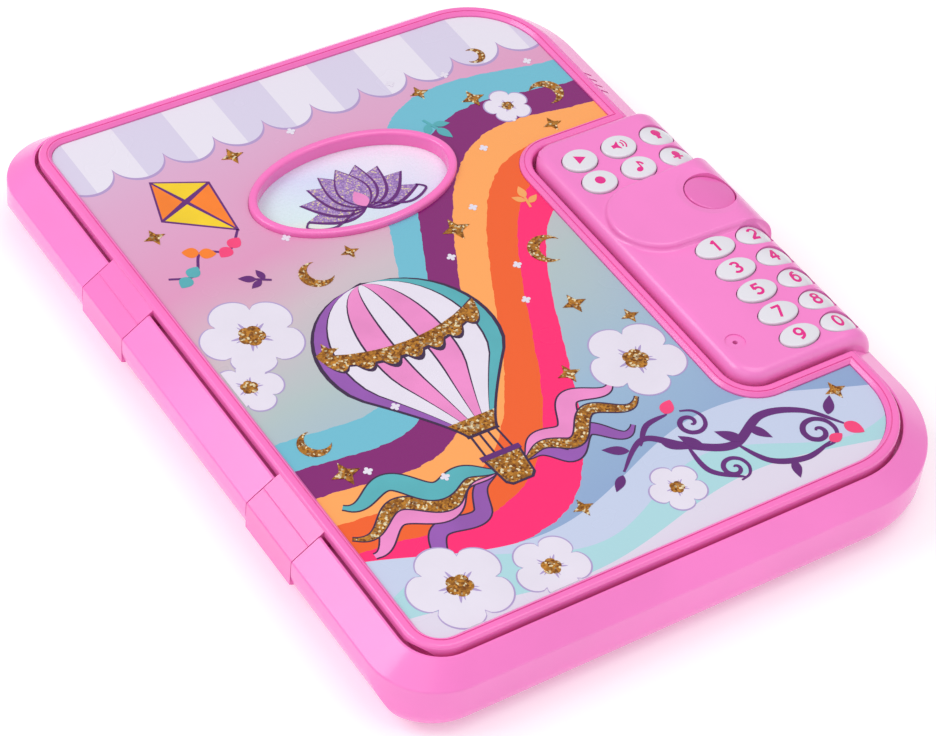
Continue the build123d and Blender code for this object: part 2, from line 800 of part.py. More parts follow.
def button_cap(x, y, half_width, half_height, crown, tilt, top_z, room):
    """A domed oval cap with its flange under the skin and its stem over the keypad mat."""
    lean = radians(tilt)
    centre = (x - crown * sin(lean), y, top_z - crown * cos(lean))
    with BuildPart() as flange:
        with BuildSketch(Plane.XY.offset(cap_bottom_z)):
            with Locations((x, y)):
                Ellipse(half_width + flange_width, half_height + flange_width)
        extrude(amount=boss_z - cap_bottom_z)
        add(room, mode=Mode.INTERSECT)
    with BuildPart() as cap:
        with BuildSketch(Plane.XY.offset(cap_bottom_z)):
            with Locations((x, y)):
                Ellipse(half_width, half_height)
        extrude(amount=boss_z + crown - cap_bottom_z)
        with Locations(centre):
            Sphere(crown, mode=Mode.INTERSECT)
        rim = cap.faces().sort_by(Axis.Z)[-1].edges()
        fillet(rim, button_edge_radius)
        add(flange.part)
        with Locations((x, y, stem_bottom_z)):
            Cylinder(stem_radius, cap_above_stem, align=UPRIGHT)
    return cap.part


def oval_button(x, y, half_width, half_height, tilt, roll_crown):
    """A keypad button, leaning over with the skin where the console rolls off."""
    on_roll = x > right - console_roll_radius
    lean = tilt if on_roll else 0
    crown = roll_crown if on_roll else button_crown_radius
    proud = roll_proud if on_roll else button_proud
    return button_cap(x, y, half_width, half_height, crown, lean, skin_height(x) + proud, cap_room)


buttons = {}
for name, (x, y) in zip(function_names, function_spots):
    buttons[name] = oval_button(
        x, y, function_half_width, function_half_height, function_roll_tilt, function_roll_crown
    )
for index, (x, y) in enumerate(number_spots):
    buttons[f"number_button_{(index + 1) % 10}"] = oval_button(
        x, y, number_half_width, number_half_height, number_roll_tilt, number_roll_crown
    )
buttons["open_button"] = button_cap(
    open_button_x,
    open_button_y,
    open_button_radius,
    open_button_radius,
    open_button_crown_radius,
    open_button_tilt,
    open_face_z + open_button_proud,
    open_cap_room,
)
for name, button in buttons.items():
    button.label = name
    export_step(button, f"parts/{name}.step")

# ---- Lid shell: rimmed plate with the window, the two hinge tabs and the bolt's window ---------
tab_top_x = recess_left + lid_gap + rim_radius
tab_top_z = crease_z + border_rise / (lip_left - left) * (tab_top_x - left)
skirt_left = recess_left + lid_gap + lid_spine_skirt
hollow_length = 2 * (recess_half_length - lid_gap - lid_skirt)
corner_y = recess_half_length - (spine_corner_radius - side_border + recess_corner_ease)
liner_top_z = liner_z + liner_thickness
lid_screw_top_z = plate_bottom_z + 0.5 * lid_plate
window_top_z = print_z + bezel_rise


def hollow_shape(inset):
    """The hollow under the lid's plate, wide of the spine, drawn in by inset."""
    inside = lid_shape(lid_skirt + inset)
    with BuildSketch() as shape:
        add(inside)
        with Locations((skirt_left + inset + body_width, 0)):
            RectangleRounded(
                2 * body_width, hollow_length - 2 * inset, lid_hollow_corner - inset, mode=Mode.INTERSECT
            )
    return shape.sketch


hollow_outline = hollow_shape(0)
liner_outline = hollow_shape(liner_clearance)

with BuildSketch() as tab_limits:
    with Locations((hinge_x, hinge_z)):
        Circle(tab_reach)
    with Locations((tab_top_x, tab_top_z)):
        Rectangle(2 * (lid_gap + rim_radius), 2 * rim_rise)

with BuildSketch() as tab_profile:
    with BuildLine():
        Polyline(
            (left, body_bottom),
            (left, crease_z),
            (tab_top_x, tab_top_z),
            (tab_top_x + 2 * tab_reach, tab_top_z),
            (tab_top_x + 2 * tab_reach, body_bottom),
            close=True,
        )
    make_face()
    crease_corner = tab_profile.vertices().filter_by_position(Axis.Y, crease_z - touch, crease_z + touch)
    fillet(crease_corner, crease_radius)
    offset(amount=-tab_skin, mode=Mode.SUBTRACT)
    with Locations((hinge_x, hinge_z)):
        Circle(barrel_radius)
    with BuildLine():
        Polyline(
            (hinge_x, hinge_z - arm_drop),
            (skirt_left, hinge_z - arm_drop),
            (skirt_left, lip_z - tab_skin + arm_overlap),
            (hinge_x, lip_z - tab_skin + arm_overlap),
            close=True,
        )
    make_face()
    add(tab_limits.sketch, mode=Mode.INTERSECT)
    with Locations((hinge_x, hinge_z)):
        Circle(pin_radius + pin_run_clearance, mode=Mode.SUBTRACT)

with BuildPart() as swing_room:
    with BuildSketch(Plane.XY.offset(hinge_z)):
        with BuildLine():
            Polyline(
                (hinge_x, -half_length),
                (hinge_x + swing_radius + swing_corner_growth, -half_length),
                (hinge_x + swing_radius + swing_corner_growth, -recess_half_length + lid_gap),
                (hinge_x + swing_radius, -corner_y - 1),
                (hinge_x + swing_radius, corner_y + 1),
                (hinge_x + swing_radius + swing_corner_growth, recess_half_length - lid_gap),
                (hinge_x + swing_radius + swing_corner_growth, half_length),
                (hinge_x, half_length),
                close=True,
            )
        make_face()
    revolve(axis=Axis((hinge_x, 0, hinge_z), (0, 1, 0)), revolution_arc=360)
    with Locations([(hinge_x, y, hinge_z) for y in tab_centres]):
        Box(4 * tab_reach, tab_width, 4 * tab_reach, mode=Mode.SUBTRACT)

with BuildPart() as lid_shell:
    with BuildSketch(Plane.XY.offset(lid_bottom_z)):
        add(lid_edge)
    extrude(amount=rim_z - lid_bottom_z)
    fillet(lid_shell.faces().sort_by(Axis.Z)[-1].edges(), rim_radius)
    with BuildSketch(Plane.XY.offset(sheet_seat_z)):
        add(sheet_pocket)
    extrude(amount=rim_z - sheet_seat_z, mode=Mode.SUBTRACT)
    rim_face = lid_shell.faces().sort_by(Axis.Z)[-1]
    chamfer(rim_face.inner_wires()[0].edges(), rim_slope)
    with BuildSketch(Plane.XY.offset(rim_z)):
        add(groove_outer)
        add(groove_inner, mode=Mode.SUBTRACT)
    extrude(amount=-rim_groove_depth, mode=Mode.SUBTRACT)
    with BuildSketch(Plane.XY.offset(lid_bottom_z)):
        add(hollow_outline)
    extrude(amount=plate_bottom_z - lid_bottom_z, mode=Mode.SUBTRACT)
    # window: raised bezel above the plate and a short tube under it
    with BuildSketch(Plane.XY.offset(picture_z + seat_clearance)):
        with Locations((window_x, window_y)):
            Ellipse(window_half_length + window_wall, window_half_height + window_wall)
    extrude(amount=sheet_seat_z - picture_z - seat_clearance)
    with BuildSketch(Plane.XY.offset(sheet_seat_z)):
        with Locations((window_x, window_y)):
            Ellipse(window_half_length + bezel_width, window_half_height + bezel_width)
    extrude(amount=window_top_z - sheet_seat_z)
    with BuildSketch(Plane.XY.offset(lid_bottom_z)):
        with Locations((window_x, window_y)):
            Ellipse(window_half_length, window_half_height)
    extrude(amount=window_top_z - lid_bottom_z, mode=Mode.SUBTRACT)
    fillet(lid_shell.faces().sort_by(Axis.Z)[-1].edges(), bezel_radius)
    # posts that the lid screws hold
    with Locations([(x, y, liner_top_z) for x, y in lid_screw_spots]):
        Cylinder(post_radius, plate_bottom_z - liner_top_z, align=UPRIGHT)
        Cylinder(
            screw_radius + screw_hold_clearance,
            lid_screw_top_z - liner_top_z,
            align=UPRIGHT,
            mode=Mode.SUBTRACT,
        )
    add(swing_room.part, mode=Mode.SUBTRACT)
    for y in tab_centres:
        with BuildSketch(Plane.XZ.offset(-y - tab_width / 2)):
            add(tab_profile.sketch)
        extrude(amount=tab_width)
    with Locations((console_left - lid_gap, boss_y, bolt_z - bolt_clearance)):
        Box(
            4 * lid_skirt,
            bolt_width + 2 * bolt_clearance,
            bolt_thickness + 2 * bolt_clearance,
            align=(Align.CENTER, Align.CENTER, Align.MIN),
            mode=Mode.SUBTRACT,
        )
lid_shell.part.label = "lid_shell"
export_step(lid_shell.part, "parts/lid_shell.step")

# ---- Printed sheet, picture, liner and catch in the lid -----------------------------------------
with BuildPart() as cover_print:
    with BuildSketch(Plane.XY.offset(sheet_seat_z)):
        add(sheet_outline)
        with Locations((window_x, window_y)):
            Ellipse(
                window_half_length + bezel_width + print_clearance,
                window_half_height + bezel_width + print_clearance,
                mode=Mode.SUBTRACT,
            )
    extrude(amount=print_thickness)
cover_print.part.label = "cover_print"
export_step(cover_print.part, "parts/cover_print.step")

with BuildPart() as picture_insert:
    with BuildSketch(Plane.XY.offset(picture_z - picture_thickness)):
        with Locations((window_x, window_y)):
            Ellipse(window_half_length + picture_margin, window_half_height + picture_margin)
    extrude(amount=picture_thickness)
picture_insert.part.label = "picture_insert"
export_step(picture_insert.part, "parts/picture_insert.step")

with BuildPart() as lid_liner:
    with BuildSketch(Plane.XY.offset(liner_z)):
        add(liner_outline)
        with Locations((console_left - lid_gap - lid_skirt, boss_y)):
            Rectangle(2 * catch_pocket, bolt_width + 4 * strike_margin, mode=Mode.SUBTRACT)
        with Locations(lid_screw_spots):
            Circle(screw_radius + hole_clearance, mode=Mode.SUBTRACT)
    extrude(amount=liner_thickness)
    with BuildSketch(Plane.XY.offset(liner_z)):
        with Locations(lid_screw_spots):
            Circle(screw_head_radius + hole_clearance)
    extrude(amount=flat_head_height, mode=Mode.SUBTRACT)
lid_liner.part.label = "lid_liner"
export_step(lid_liner.part, "parts/lid_liner.step")

with BuildPart() as lid_catch:
    with Locations((console_left - lid_gap - lid_skirt - seat_clearance, boss_y, plate_bottom_z)):
        Box(
            strike_thickness,
            bolt_width + 2 * strike_margin,
            strike_drop,
            align=(Align.MAX, Align.CENTER, Align.MAX),
        )
    with Locations((console_left - lid_gap - lid_skirt, boss_y, bolt_z - bolt_clearance)):
        Box(
            4 * strike_thickness,
            bolt_width + 2 * bolt_clearance,
            bolt_thickness + 2 * bolt_clearance,
            align=(Align.CENTER, Align.CENTER, Align.MIN),
            mode=Mode.SUBTRACT,
        )
lid_catch.part.label = "lid_catch"
export_step(lid_catch.part, "parts/lid_catch.step")

# ---- Bolt and solenoid that lock the lid ------------------------------------------------------
plunger_z = bolt_z + bolt_thickness / 2
solenoid_x = bolt_x + bolt_length / 2 + solenoid_gap

with BuildPart() as latch_bolt:
    with Locations((bolt_x, boss_y, bolt_z)):
        Box(bolt_length, bolt_width, bolt_thickness, align=UPRIGHT)
    tip = latch_bolt.faces().sort_by(Axis.X)[0].edges().filter_by(Axis.Y).sort_by(Axis.Z)[-1]
    chamfer(tip, bolt_tip_chamfer)
    with BuildSketch(Plane.YZ.offset(bolt_x + bolt_length / 2)):
        with Locations((boss_y, plunger_z)):
            Circle(plunger_radius)
    extrude(amount=plunger_length)
latch_bolt.part.label = "latch_bolt"
export_step(latch_bolt.part, "parts/latch_bolt.step")

with BuildPart() as latch_solenoid:
    with Locations((solenoid_x, boss_y, deck_z)):
        Box(solenoid_length, solenoid_width, solenoid_height, align=(Align.MIN, Align.CENTER, Align.MIN))
    with Locations((solenoid_x + solenoid_length / 2, boss_y, deck_z + solenoid_height / 2)):
        Box(
            solenoid_length - 2 * frame_wall,
            2 * solenoid_width,
            solenoid_height - 2 * coil_margin,
            mode=Mode.SUBTRACT,
        )
    with BuildSketch(Plane.YZ.offset(solenoid_x)):
        with Locations((boss_y, deck_z + solenoid_height / 2)):
            RectangleRounded(
                solenoid_width - 2 * coil_margin, solenoid_height - 2 * coil_margin, coil_corner
            )
    extrude(amount=solenoid_length)
    with BuildSketch(Plane.YZ.offset(solenoid_x)):
        with Locations((boss_y, plunger_z)):
            Circle(plunger_radius + solenoid_bore_clearance)
    extrude(amount=solenoid_length, mode=Mode.SUBTRACT)
latch_solenoid.part.label = "latch_solenoid"
export_step(latch_solenoid.part, "parts/latch_solenoid.step")

# ---- Keypad board and mat -----------------------------------------------------------------------
board_left = console_left + console_wall + board_edge
board_right = right - console_wall - board_edge
board_low = console_bottom + console_wall + board_edge
board_high = console_top_edge - console_wall - board_edge
latch_room = solenoid_x + solenoid_length + board_edge
latch_half = solenoid_width / 2 + board_edge


def board_outline():
    """The keypad board seen from above, cut out round the latch and the housing's posts."""
    with BuildSketch() as outline:
        with Locations(((board_left + board_right) / 2, (board_low + board_high) / 2)):
            Rectangle(board_right - board_left, board_high - board_low)
        left_corners = outline.vertices().group_by(Axis.X)[0]
        right_corners = outline.vertices().group_by(Axis.X)[-1]
        fillet(left_corners, console_corner_radius - console_wall - board_edge)
        chamfer(right_corners, console_edge_radius)
        with Locations(((board_left + latch_room) / 2, boss_y)):
            Rectangle(latch_room - board_left, 2 * latch_half, mode=Mode.SUBTRACT)
        with Locations(housing_screw_spots):
            Circle(post_radius + post_clearance, mode=Mode.SUBTRACT)
    return outline.sketch


keypad_outline = board_outline()
button_spots = function_spots + number_spots + [(open_button_x, open_button_y)]

with BuildPart() as keypad_board:
    with BuildSketch(Plane.XY.offset(board_z)):
        add(keypad_outline)
    extrude(amount=board_thickness)
keypad_board.part.label = "keypad_board"
export_step(keypad_board.part, "parts/keypad_board.step")

with BuildPart() as keypad_mat:
    with BuildSketch(Plane.XY.offset(board_top_z)):
        add(keypad_outline)
    extrude(amount=mat_thickness)
    with Locations([(x, y, mat_top_z) for x, y in button_spots]):
        Cone(dome_radius, stem_radius, dome_height, align=UPRIGHT)
keypad_mat.part.label = "keypad_mat"
export_step(keypad_mat.part, "parts/keypad_mat.step")

# ---- Main board, cable, speaker and microphone ----------------------------------------------------
main_board_z = floor_z + main_board_lift
main_board_top_z = main_board_z + board_thickness

with BuildPart() as main_board:
    with Locations((main_board_x, main_board_y, main_board_z)):
        Box(main_board_width, main_board_length, board_thickness, align=UPRIGHT)
    with Locations((main_board_x, main_board_y + chip_offset, main_board_top_z)):
        Box(chip_width, chip_width, chip_height, align=UPRIGHT)
    with Locations((main_board_x, main_board_y - chip_offset, main_board_top_z)):
        with GridLocations(capacitor_pitch, 1, 3, 1):
            Cylinder(capacitor_radius, capacitor_height, align=UPRIGHT)
main_board.part.label = "main_board"
export_step(main_board.part, "parts/main_board.step")

with BuildPart() as keypad_cable:
    with Locations((cable_x, cable_y, main_board_top_z)):
        Box(cable_width, cable_thickness, board_z - main_board_top_z, align=UPRIGHT)
keypad_cable.part.label = "keypad_cable"
export_step(keypad_cable.part, "parts/keypad_cable.step")

with BuildPart() as speaker:
    with BuildSketch(Plane.XZ.offset(-speaker_y)):
        with BuildLine():
            Polyline(
                (speaker_x, speaker_z),
                (speaker_x + speaker_magnet, speaker_z),
                (speaker_x + speaker_magnet, speaker_z + speaker_depth / 2),
                (speaker_x + speaker_radius, speaker_z + speaker_depth - speaker_rim),
                (speaker_x + speaker_radius, speaker_z + speaker_depth),
                (speaker_x + speaker_radius - speaker_rim, speaker_z + speaker_depth),
                (speaker_x + speaker_magnet, speaker_z + speaker_depth - speaker_rim),
                (speaker_x, speaker_z + speaker_depth - speaker_rim / 2),
                close=True,
            )
        make_face()
    revolve(axis=Axis((speaker_x, speaker_y, 0), (0, 0, 1)), revolution_arc=360)
speaker.part.label = "speaker"
export_step(speaker.part, "parts/speaker.step")

with BuildPart() as microphone:
    with Locations((mic_x, mic_y, console_z - console_wall - seat_clearance)):
        Cylinder(mic_radius, mic_height, align=(Align.CENTER, Align.CENTER, Align.MAX))
microphone.part.label = "microphone"
export_step(microphone.part, "parts/microphone.step")

# ---- Three cells with their springs and contacts, and the battery door ------------------------------
cell_pitch = 2 * cell_radius + cell_gap
cell_xs = [cell_centre_x + i * cell_pitch for i in (-1, 0, 1)]
spring_side_y = box_low + contact_thickness
cell_low = spring_side_y + spring_length + seat_clearance

with BuildPart() as batteries:
    for x in cell_xs:
        with BuildSketch(Plane.XZ.offset(-cell_low - cell_length)):
            with Locations((x, cell_z)):
                Circle(cell_radius)
        extrude(amount=cell_length)
        with BuildSketch(Plane.XZ.offset(-cell_low - cell_length)):
            with Locations((x, cell_z)):
                Circle(cell_nub_radius)
        extrude(amount=-cell_nub_length)
batteries.part.label = "batteries"
export_step(batteries.part, "parts/batteries.step")

with BuildPart() as battery_contacts:
    for y in (box_low + contact_thickness / 2, box_high - contact_thickness / 2):
        with Locations([(x, y, cell_z) for x in cell_xs]):
            Box(contact_width, contact_thickness, contact_width)
battery_contacts.part.label = "battery_contacts"
export_step(battery_contacts.part, "parts/battery_contacts.step")

with BuildPart() as battery_springs:
    for x in cell_xs:
        with BuildLine() as coil:
            Helix(
                spring_pitch,
                spring_length - 2 * spring_wire,
                spring_radius,
                center=(x, spring_side_y + spring_wire, cell_z),
                direction=(0, 1, 0),
            )
        with BuildSketch(Plane(origin=coil.line @ 0, z_dir=coil.line % 0)):
            RegularPolygon(spring_wire, 4)
        sweep(is_frenet=True)
battery_springs.part.label = "battery_springs"
export_step(battery_springs.part, "parts/battery_springs.step")

with BuildPart() as battery_door:
    with BuildSketch(Plane.XY.offset(body_bottom)):
        with Locations((cell_centre_x, cell_centre_y)):
            Rectangle(box_width - 2 * door_clearance, box_length - 2 * door_clearance)
        with Locations((cell_centre_x, tongue_y - door_clearance)):
            Rectangle(tongue_width - 2 * door_clearance, tongue_length)
    extrude(amount=door_thickness)
    with Locations((cell_centre_x, tongue_y, body_bottom)):
        Cylinder(screw_head_radius + hole_clearance, flat_head_height, align=UPRIGHT, mode=Mode.SUBTRACT)
        Cylinder(screw_radius + hole_clearance, door_thickness, align=UPRIGHT, mode=Mode.SUBTRACT)
    with Locations((cell_centre_x, cell_centre_y, body_bottom)):
        with GridLocations(1, door_grip_pitch, 1, 5):
            Box(box_width / 2, door_grip_width, 2 * door_grip_depth, mode=Mode.SUBTRACT)
battery_door.part.label = "battery_door"
export_step(battery_door.part, "parts/battery_door.step")

# ---- Screws, feet and hinge pins ----------------------------------------------------------------------


def screws(spots, seat_z, head_height, shank_length):
    """Pan screws driven upwards, their heads seated under seat_z, with a cross slot."""
    with BuildPart() as group:
        with Locations([(x, y, seat_z - head_height) for x, y in spots]):
            Cylinder(screw_head_radius, head_height, align=UPRIGHT)
            Cylinder(screw_radius, head_height + shank_length, align=UPRIGHT)
            Box(slot_length, slot_width, head_height, mode=Mode.SUBTRACT)
            Box(slot_width, slot_length, head_height, mode=Mode.SUBTRACT)
    return group.part


screw_sets = {
    "base_screws": screws(base_screw_spots, post_seat_z, screw_head_height, base_screw_shank),
    "housing_screws": screws(housing_screw_spots, seam_z, screw_head_height, housing_screw_length),
    "lid_screws": screws(lid_screw_spots, liner_z + flat_head_height, flat_head_height, lid_screw_shank),
    "battery_door_screw": screws(
        [(cell_centre_x, tongue_y)], body_bottom + flat_head_height, flat_head_height, door_screw_length
    ),
}
for name, screw_set in screw_sets.items():
    screw_set.label = name
    export_step(screw_set, f"parts/{name}.step")

with BuildPart() as rubber_feet:
    with Locations([(x, y, 0) for x, y in foot_spots]):
        Cylinder(foot_radius, body_bottom + foot_recess, align=UPRIGHT)
    chamfer(rubber_feet.faces().filter_by_position(Axis.Z, -touch, touch).edges(), foot_chamfer)
rubber_feet.part.label = "rubber_feet"
export_step(rubber_feet.part, "parts/rubber_feet.step")

for name, y in zip(("hinge_pin_upper", "hinge_pin_lower"), tab_centres):
    with BuildPart() as hinge_pin:
        with Locations(Location((hinge_x, y, hinge_z), (90, 0, 0))):
            Cylinder(pin_radius, hinge_cut_width + 2 * (lug_thickness - pin_inset))
        chamfer(hinge_pin.edges().filter_by(GeomType.CIRCLE), pin_chamfer)
    hinge_pin.part.label = name
    export_step(hinge_pin.part, f"parts/{name}.step")

# ---- Notebook that lies in the well ----------------------------------------------------------------------
notebook_z = floor_z + notebook_lift
notebook_x = (well_left + well_right) / 2
notebook_width = well_right - well_left - 2 * notebook_margin
notebook_length = 2 * (well_half_length - notebook_margin)
page_width = notebook_width - notebook_page_inset - notebook_cover_thickness
page_thickness = notebook_thickness - 2 * notebook_cover_thickness
page_left = notebook_x - notebook_width / 2 + notebook_cover_thickness
page_middle_z = notebook_z + notebook_thickness / 2

with BuildPart() as notebook_cover:
    with BuildSketch(Plane.XY.offset(notebook_z)) as cover_outline:
        with Locations((notebook_x, 0)):
            Rectangle(notebook_width, notebook_length)
        fillet(cover_outline.vertices().group_by(Axis.X)[-1], notebook_corner_radius)
    extrude(amount=notebook_thickness)
    with Locations((page_left, 0, page_middle_z)):
        Box(
            notebook_width,
            notebook_length + 1,
            page_thickness,
            align=(Align.MIN, Align.CENTER, Align.CENTER),
            mode=Mode.SUBTRACT,
        )
notebook_cover.part.label = "notebook_cover"
export_step(notebook_cover.part, "parts/notebook_cover.step")

with BuildPart() as notebook_pages:
    with Locations((page_left, 0, page_middle_z)):
        Box(
            page_width,
            notebook_length - 2 * notebook_page_inset,
            page_thickness,
            align=(Align.MIN, Align.CENTER, Align.CENTER),
        )
notebook_pages.part.label = "notebook_pages"
export_step(notebook_pages.part, "parts/notebook_pages.step")
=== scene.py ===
from math import atan2, cos, pi, radians, sin, sqrt

import bmesh
import bpy
from mathutils import Matrix, Vector
from mathutils.bvhtree import BVHTree


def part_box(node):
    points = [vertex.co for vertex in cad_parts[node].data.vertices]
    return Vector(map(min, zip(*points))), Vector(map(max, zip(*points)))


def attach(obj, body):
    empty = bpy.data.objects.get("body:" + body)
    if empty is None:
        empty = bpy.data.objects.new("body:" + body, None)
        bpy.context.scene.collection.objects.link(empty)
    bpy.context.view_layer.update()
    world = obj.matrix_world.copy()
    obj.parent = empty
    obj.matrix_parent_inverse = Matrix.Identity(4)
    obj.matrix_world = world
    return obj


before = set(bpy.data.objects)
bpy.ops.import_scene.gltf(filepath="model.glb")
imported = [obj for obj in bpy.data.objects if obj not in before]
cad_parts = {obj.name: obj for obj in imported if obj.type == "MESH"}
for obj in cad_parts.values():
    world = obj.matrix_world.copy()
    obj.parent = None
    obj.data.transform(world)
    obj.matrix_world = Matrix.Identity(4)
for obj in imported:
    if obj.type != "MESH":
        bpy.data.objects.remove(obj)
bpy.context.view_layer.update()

# An electronic secret diary. Metres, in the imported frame: +X from the spine to the keypad side,
# +Y to the top of the page, +Z up, and the lid closed at rest.

MM = 0.001
WHITE = (1.0, 1.0, 1.0, 1.0)


def colour(red, green, blue):
    """An sRGB colour, 0 to 255, as the linear colour that shaders take."""
    linear = []
    for value in (red, green, blue):
        share = value / 255
        linear.append(share / 12.92 if share <= 0.04045 else ((share + 0.055) / 1.055) ** 2.4)
    return (*linear, 1.0)


def toned(base, factor, lift=0.0):
    """A colour made darker or brighter, up to full white."""
    return (*(min(1.0, channel * factor + lift) for channel in base[:3]), 1.0)


# ---- Shader helpers --------------------------------------------------------------------------

NOISE_CORE = (0.3, 0.7)  # most of a noise's values lie between these
GLOSS_SCALE = 45.0  # the gloss of a moulding or a print drifts over about 20 mm
GLOSS_BELOW, GLOSS_ABOVE = 0.01, 0.015  # and by this much roughness


class Shader:
    """A new node material with a Principled shader, and short ways to add and join nodes."""

    def __init__(self, name, **values):
        self.material = bpy.data.materials.new(name)
        self.material.use_nodes = True
        self.tree = self.material.node_tree
        self.surface = self.tree.nodes["Principled BSDF"]
        for socket, value in values.items():
            self.surface.inputs[socket.replace("_", " ")].default_value = value
        self.point = self.tree.nodes.new("ShaderNodeTexCoord").outputs["Object"]

    def put(self, socket, value):
        """Sets a socket to a number, or links it to another node's output."""
        if isinstance(value, bpy.types.NodeSocket):
            self.tree.links.new(value, socket)
        else:
            socket.default_value = value

    def node(self, kind, settings=None, **inputs):
        """Adds a node, with its settings, and its inputs as numbers or as other nodes' outputs."""
        made = self.tree.nodes.new(kind)
        for key, value in (settings or {}).items():
            setattr(made, key, value)
        for key, value in inputs.items():
            self.put(made.inputs[key.replace("_", " ")], value)
        return made

    def math(self, operation, *values):
        """One Math node."""
        made = self.node("ShaderNodeMath", {"operation": operation})
        for socket, value in zip(made.inputs, values):
            self.put(socket, value)
        return made.outputs[0]

    def add(self, first, second):
        return self.math("ADD", first, second)

    def subtract(self, first, second):
        return self.math("SUBTRACT", first, second)

    def times(self, first, second):
        return self.math("MULTIPLY", first, second)

    def less(self, first, second):
        """1 where the first value is the smaller, and 0 elsewhere."""
        return self.math("LESS_THAN", first, second)

    def axes(self):
        """The X, Y and Z of the point, in metres."""
        return self.node("ShaderNodeSeparateXYZ", Vector=self.point).outputs

    def noise(self, scale, detail=2.0, vector=None):
        """Noise with features about 1/scale metres across."""
        vector = vector or self.point
        made = self.node("ShaderNodeTexNoise", Scale=scale, Detail=detail, Vector=vector)
        return made.outputs["Fac"]

    def spread(self, value, low, high, to_low=0.0, to_high=1.0):
        """Maps low..high to to_low..to_high, and holds the ends."""
        made = self.node(
            "ShaderNodeMapRange",
            {"clamp": True},
            Value=value,
            From_Min=low,
            From_Max=high,
            To_Min=to_low,
            To_Max=to_high,
        )
        return made.outputs["Result"]

    def mix(self, share, first, second):
        """Mixes two colours."""
        made = self.node("ShaderNodeMix", {"data_type": "RGBA"})
        factor_input, first_input, second_input, colour_output = 0, 6, 7, 2
        self.put(made.inputs[factor_input], share)
        self.put(made.inputs[first_input], first)
        self.put(made.inputs[second_input], second)
        return made.outputs[colour_output]

    def ramp(self, value, stops, sharp=False):
        """A colour ramp through (place, colour) stops."""
        made = self.node("ShaderNodeValToRGB", Fac=value)
        made.color_ramp.interpolation = "CONSTANT" if sharp else "LINEAR"
        points = made.color_ramp.elements
        while len(points) < len(stops):
            points.new(0.5)
        for point, (place, shade) in zip(points, stops):
            point.position = place
            point.color = shade
        return made.outputs["Color"]

    def set(self, socket, value):
        """Sets or links one socket of the Principled shader."""
        self.put(self.surface.inputs[socket], value)

    def gloss(self, pattern, low, high):
        """Roughness that follows a pattern between two values."""
        self.set("Roughness", self.spread(pattern, *NOISE_CORE, low, high))

    def drifting_gloss(self, rough):
        """Roughness that drifts a little to each side of a value."""
        self.gloss(self.noise(GLOSS_SCALE), rough - GLOSS_BELOW, rough + GLOSS_ABOVE)

    def bump(self, height, distance, strength=1.0):
        """Feeds a height into the surface's normal. Distance is in metres."""
        made = self.node("ShaderNodeBump", Strength=strength, Distance=distance, Height=height)
        self.set("Normal", made.outputs["Normal"])


# ---- Common materials ------------------------------------------------------------------------


def moulded_plastic(name, base, rough=0.24, shift=0.025, grain=0.003):
    """Injection-moulded plastic: faint cloudy flow, drifting gloss and a fine tool finish."""
    shader = Shader(name, Specular_IOR_Level=0.5, Coat_Weight=0.25, Coat_Roughness=0.12)
    flow = shader.spread(shader.noise(28.0, 3.0), *NOISE_CORE)
    shader.set("Base Color", shader.mix(flow, toned(base, 1 - 3 * shift), base))
    shader.drifting_gloss(rough)
    shader.bump(shader.noise(900.0), grain * MM)
    return shader.material


def plated_steel(name, base=(0.62, 0.61, 0.60, 1.0), rough=0.32):
    """Zinc-plated steel with a fine drawn grain."""
    shader = Shader(name, Metallic=1.0)
    drawn = shader.node("ShaderNodeVectorMath", {"operation": "MULTIPLY"})
    shader.put(drawn.inputs[0], shader.point)
    shader.put(drawn.inputs[1], (1.0, 1.0, 9.0))
    grain = shader.noise(1800.0, 3.0, drawn.outputs[0])
    shader.set("Base Color", shader.mix(grain, toned(base, 0.82), base))
    shader.gloss(grain, rough - 0.08, rough + 0.1)
    shader.bump(grain, 0.01 * MM)
    return shader.material


def soft_rubber(name, base):
    """Moulded rubber, matt and slightly mottled."""
    shader = Shader(name, Specular_IOR_Level=0.35)
    mottle = shader.noise(900.0, 5.0)
    shader.set("Base Color", shader.mix(mottle, base, toned(base, 1.25, 0.01)))
    shader.gloss(mottle, 0.62, 0.82)
    shader.bump(mottle, 0.04 * MM)
    return shader.material


def glitter(name, dark, bright, scale=1500.0):
    """Glitter print: small flakes, each with its own shade, tilt and shine, and some painted
    glints.
    """
    shader = Shader(name, Metallic=0.55, Specular_IOR_Level=0.6)
    flakes = shader.node(
        "ShaderNodeTexVoronoi", {"feature": "F1"}, Scale=scale, Randomness=1.0, Vector=shader.point
    )
    split = shader.node("ShaderNodeSeparateColor", Color=flakes.outputs["Color"])
    shade, shine, tilt = split.outputs
    # the pale cream stop is a painted glint: some flakes are coloured as if they caught the light
    painted_glint = colour(255, 236, 190)
    flake_colours_and_glint = ((0.0, dark), (0.45, bright), (0.8, dark), (0.92, painted_glint))
    shader.set("Base Color", shader.ramp(shade, flake_colours_and_glint))
    shader.set("Roughness", shader.spread(shine, 0.0, 1.0, 0.18, 0.5))
    shader.bump(tilt, 0.08 * MM, 0.8)
    return shader.material


def ink(name, base, shift=0.06, rough=0.3):
    """Printed ink under a gloss film: a little uneven, with a faint paper tooth."""
    shader = Shader(name, Specular_IOR_Level=0.5, Coat_Weight=0.3, Coat_Roughness=0.1)
    cloud = shader.spread(shader.noise(60.0, 4.0), 0.35, 0.65)
    shader.set("Base Color", shader.mix(cloud, toned(base, 1 - 2 * shift), base))
    shader.drifting_gloss(rough)
    shader.bump(shader.noise(1200.0), 0.002 * MM)
    return shader.material


# ---- The printed sheet: sky, flying ribbons, hills and awning, all in its own material -------
# Lengths in millimetres on the page.

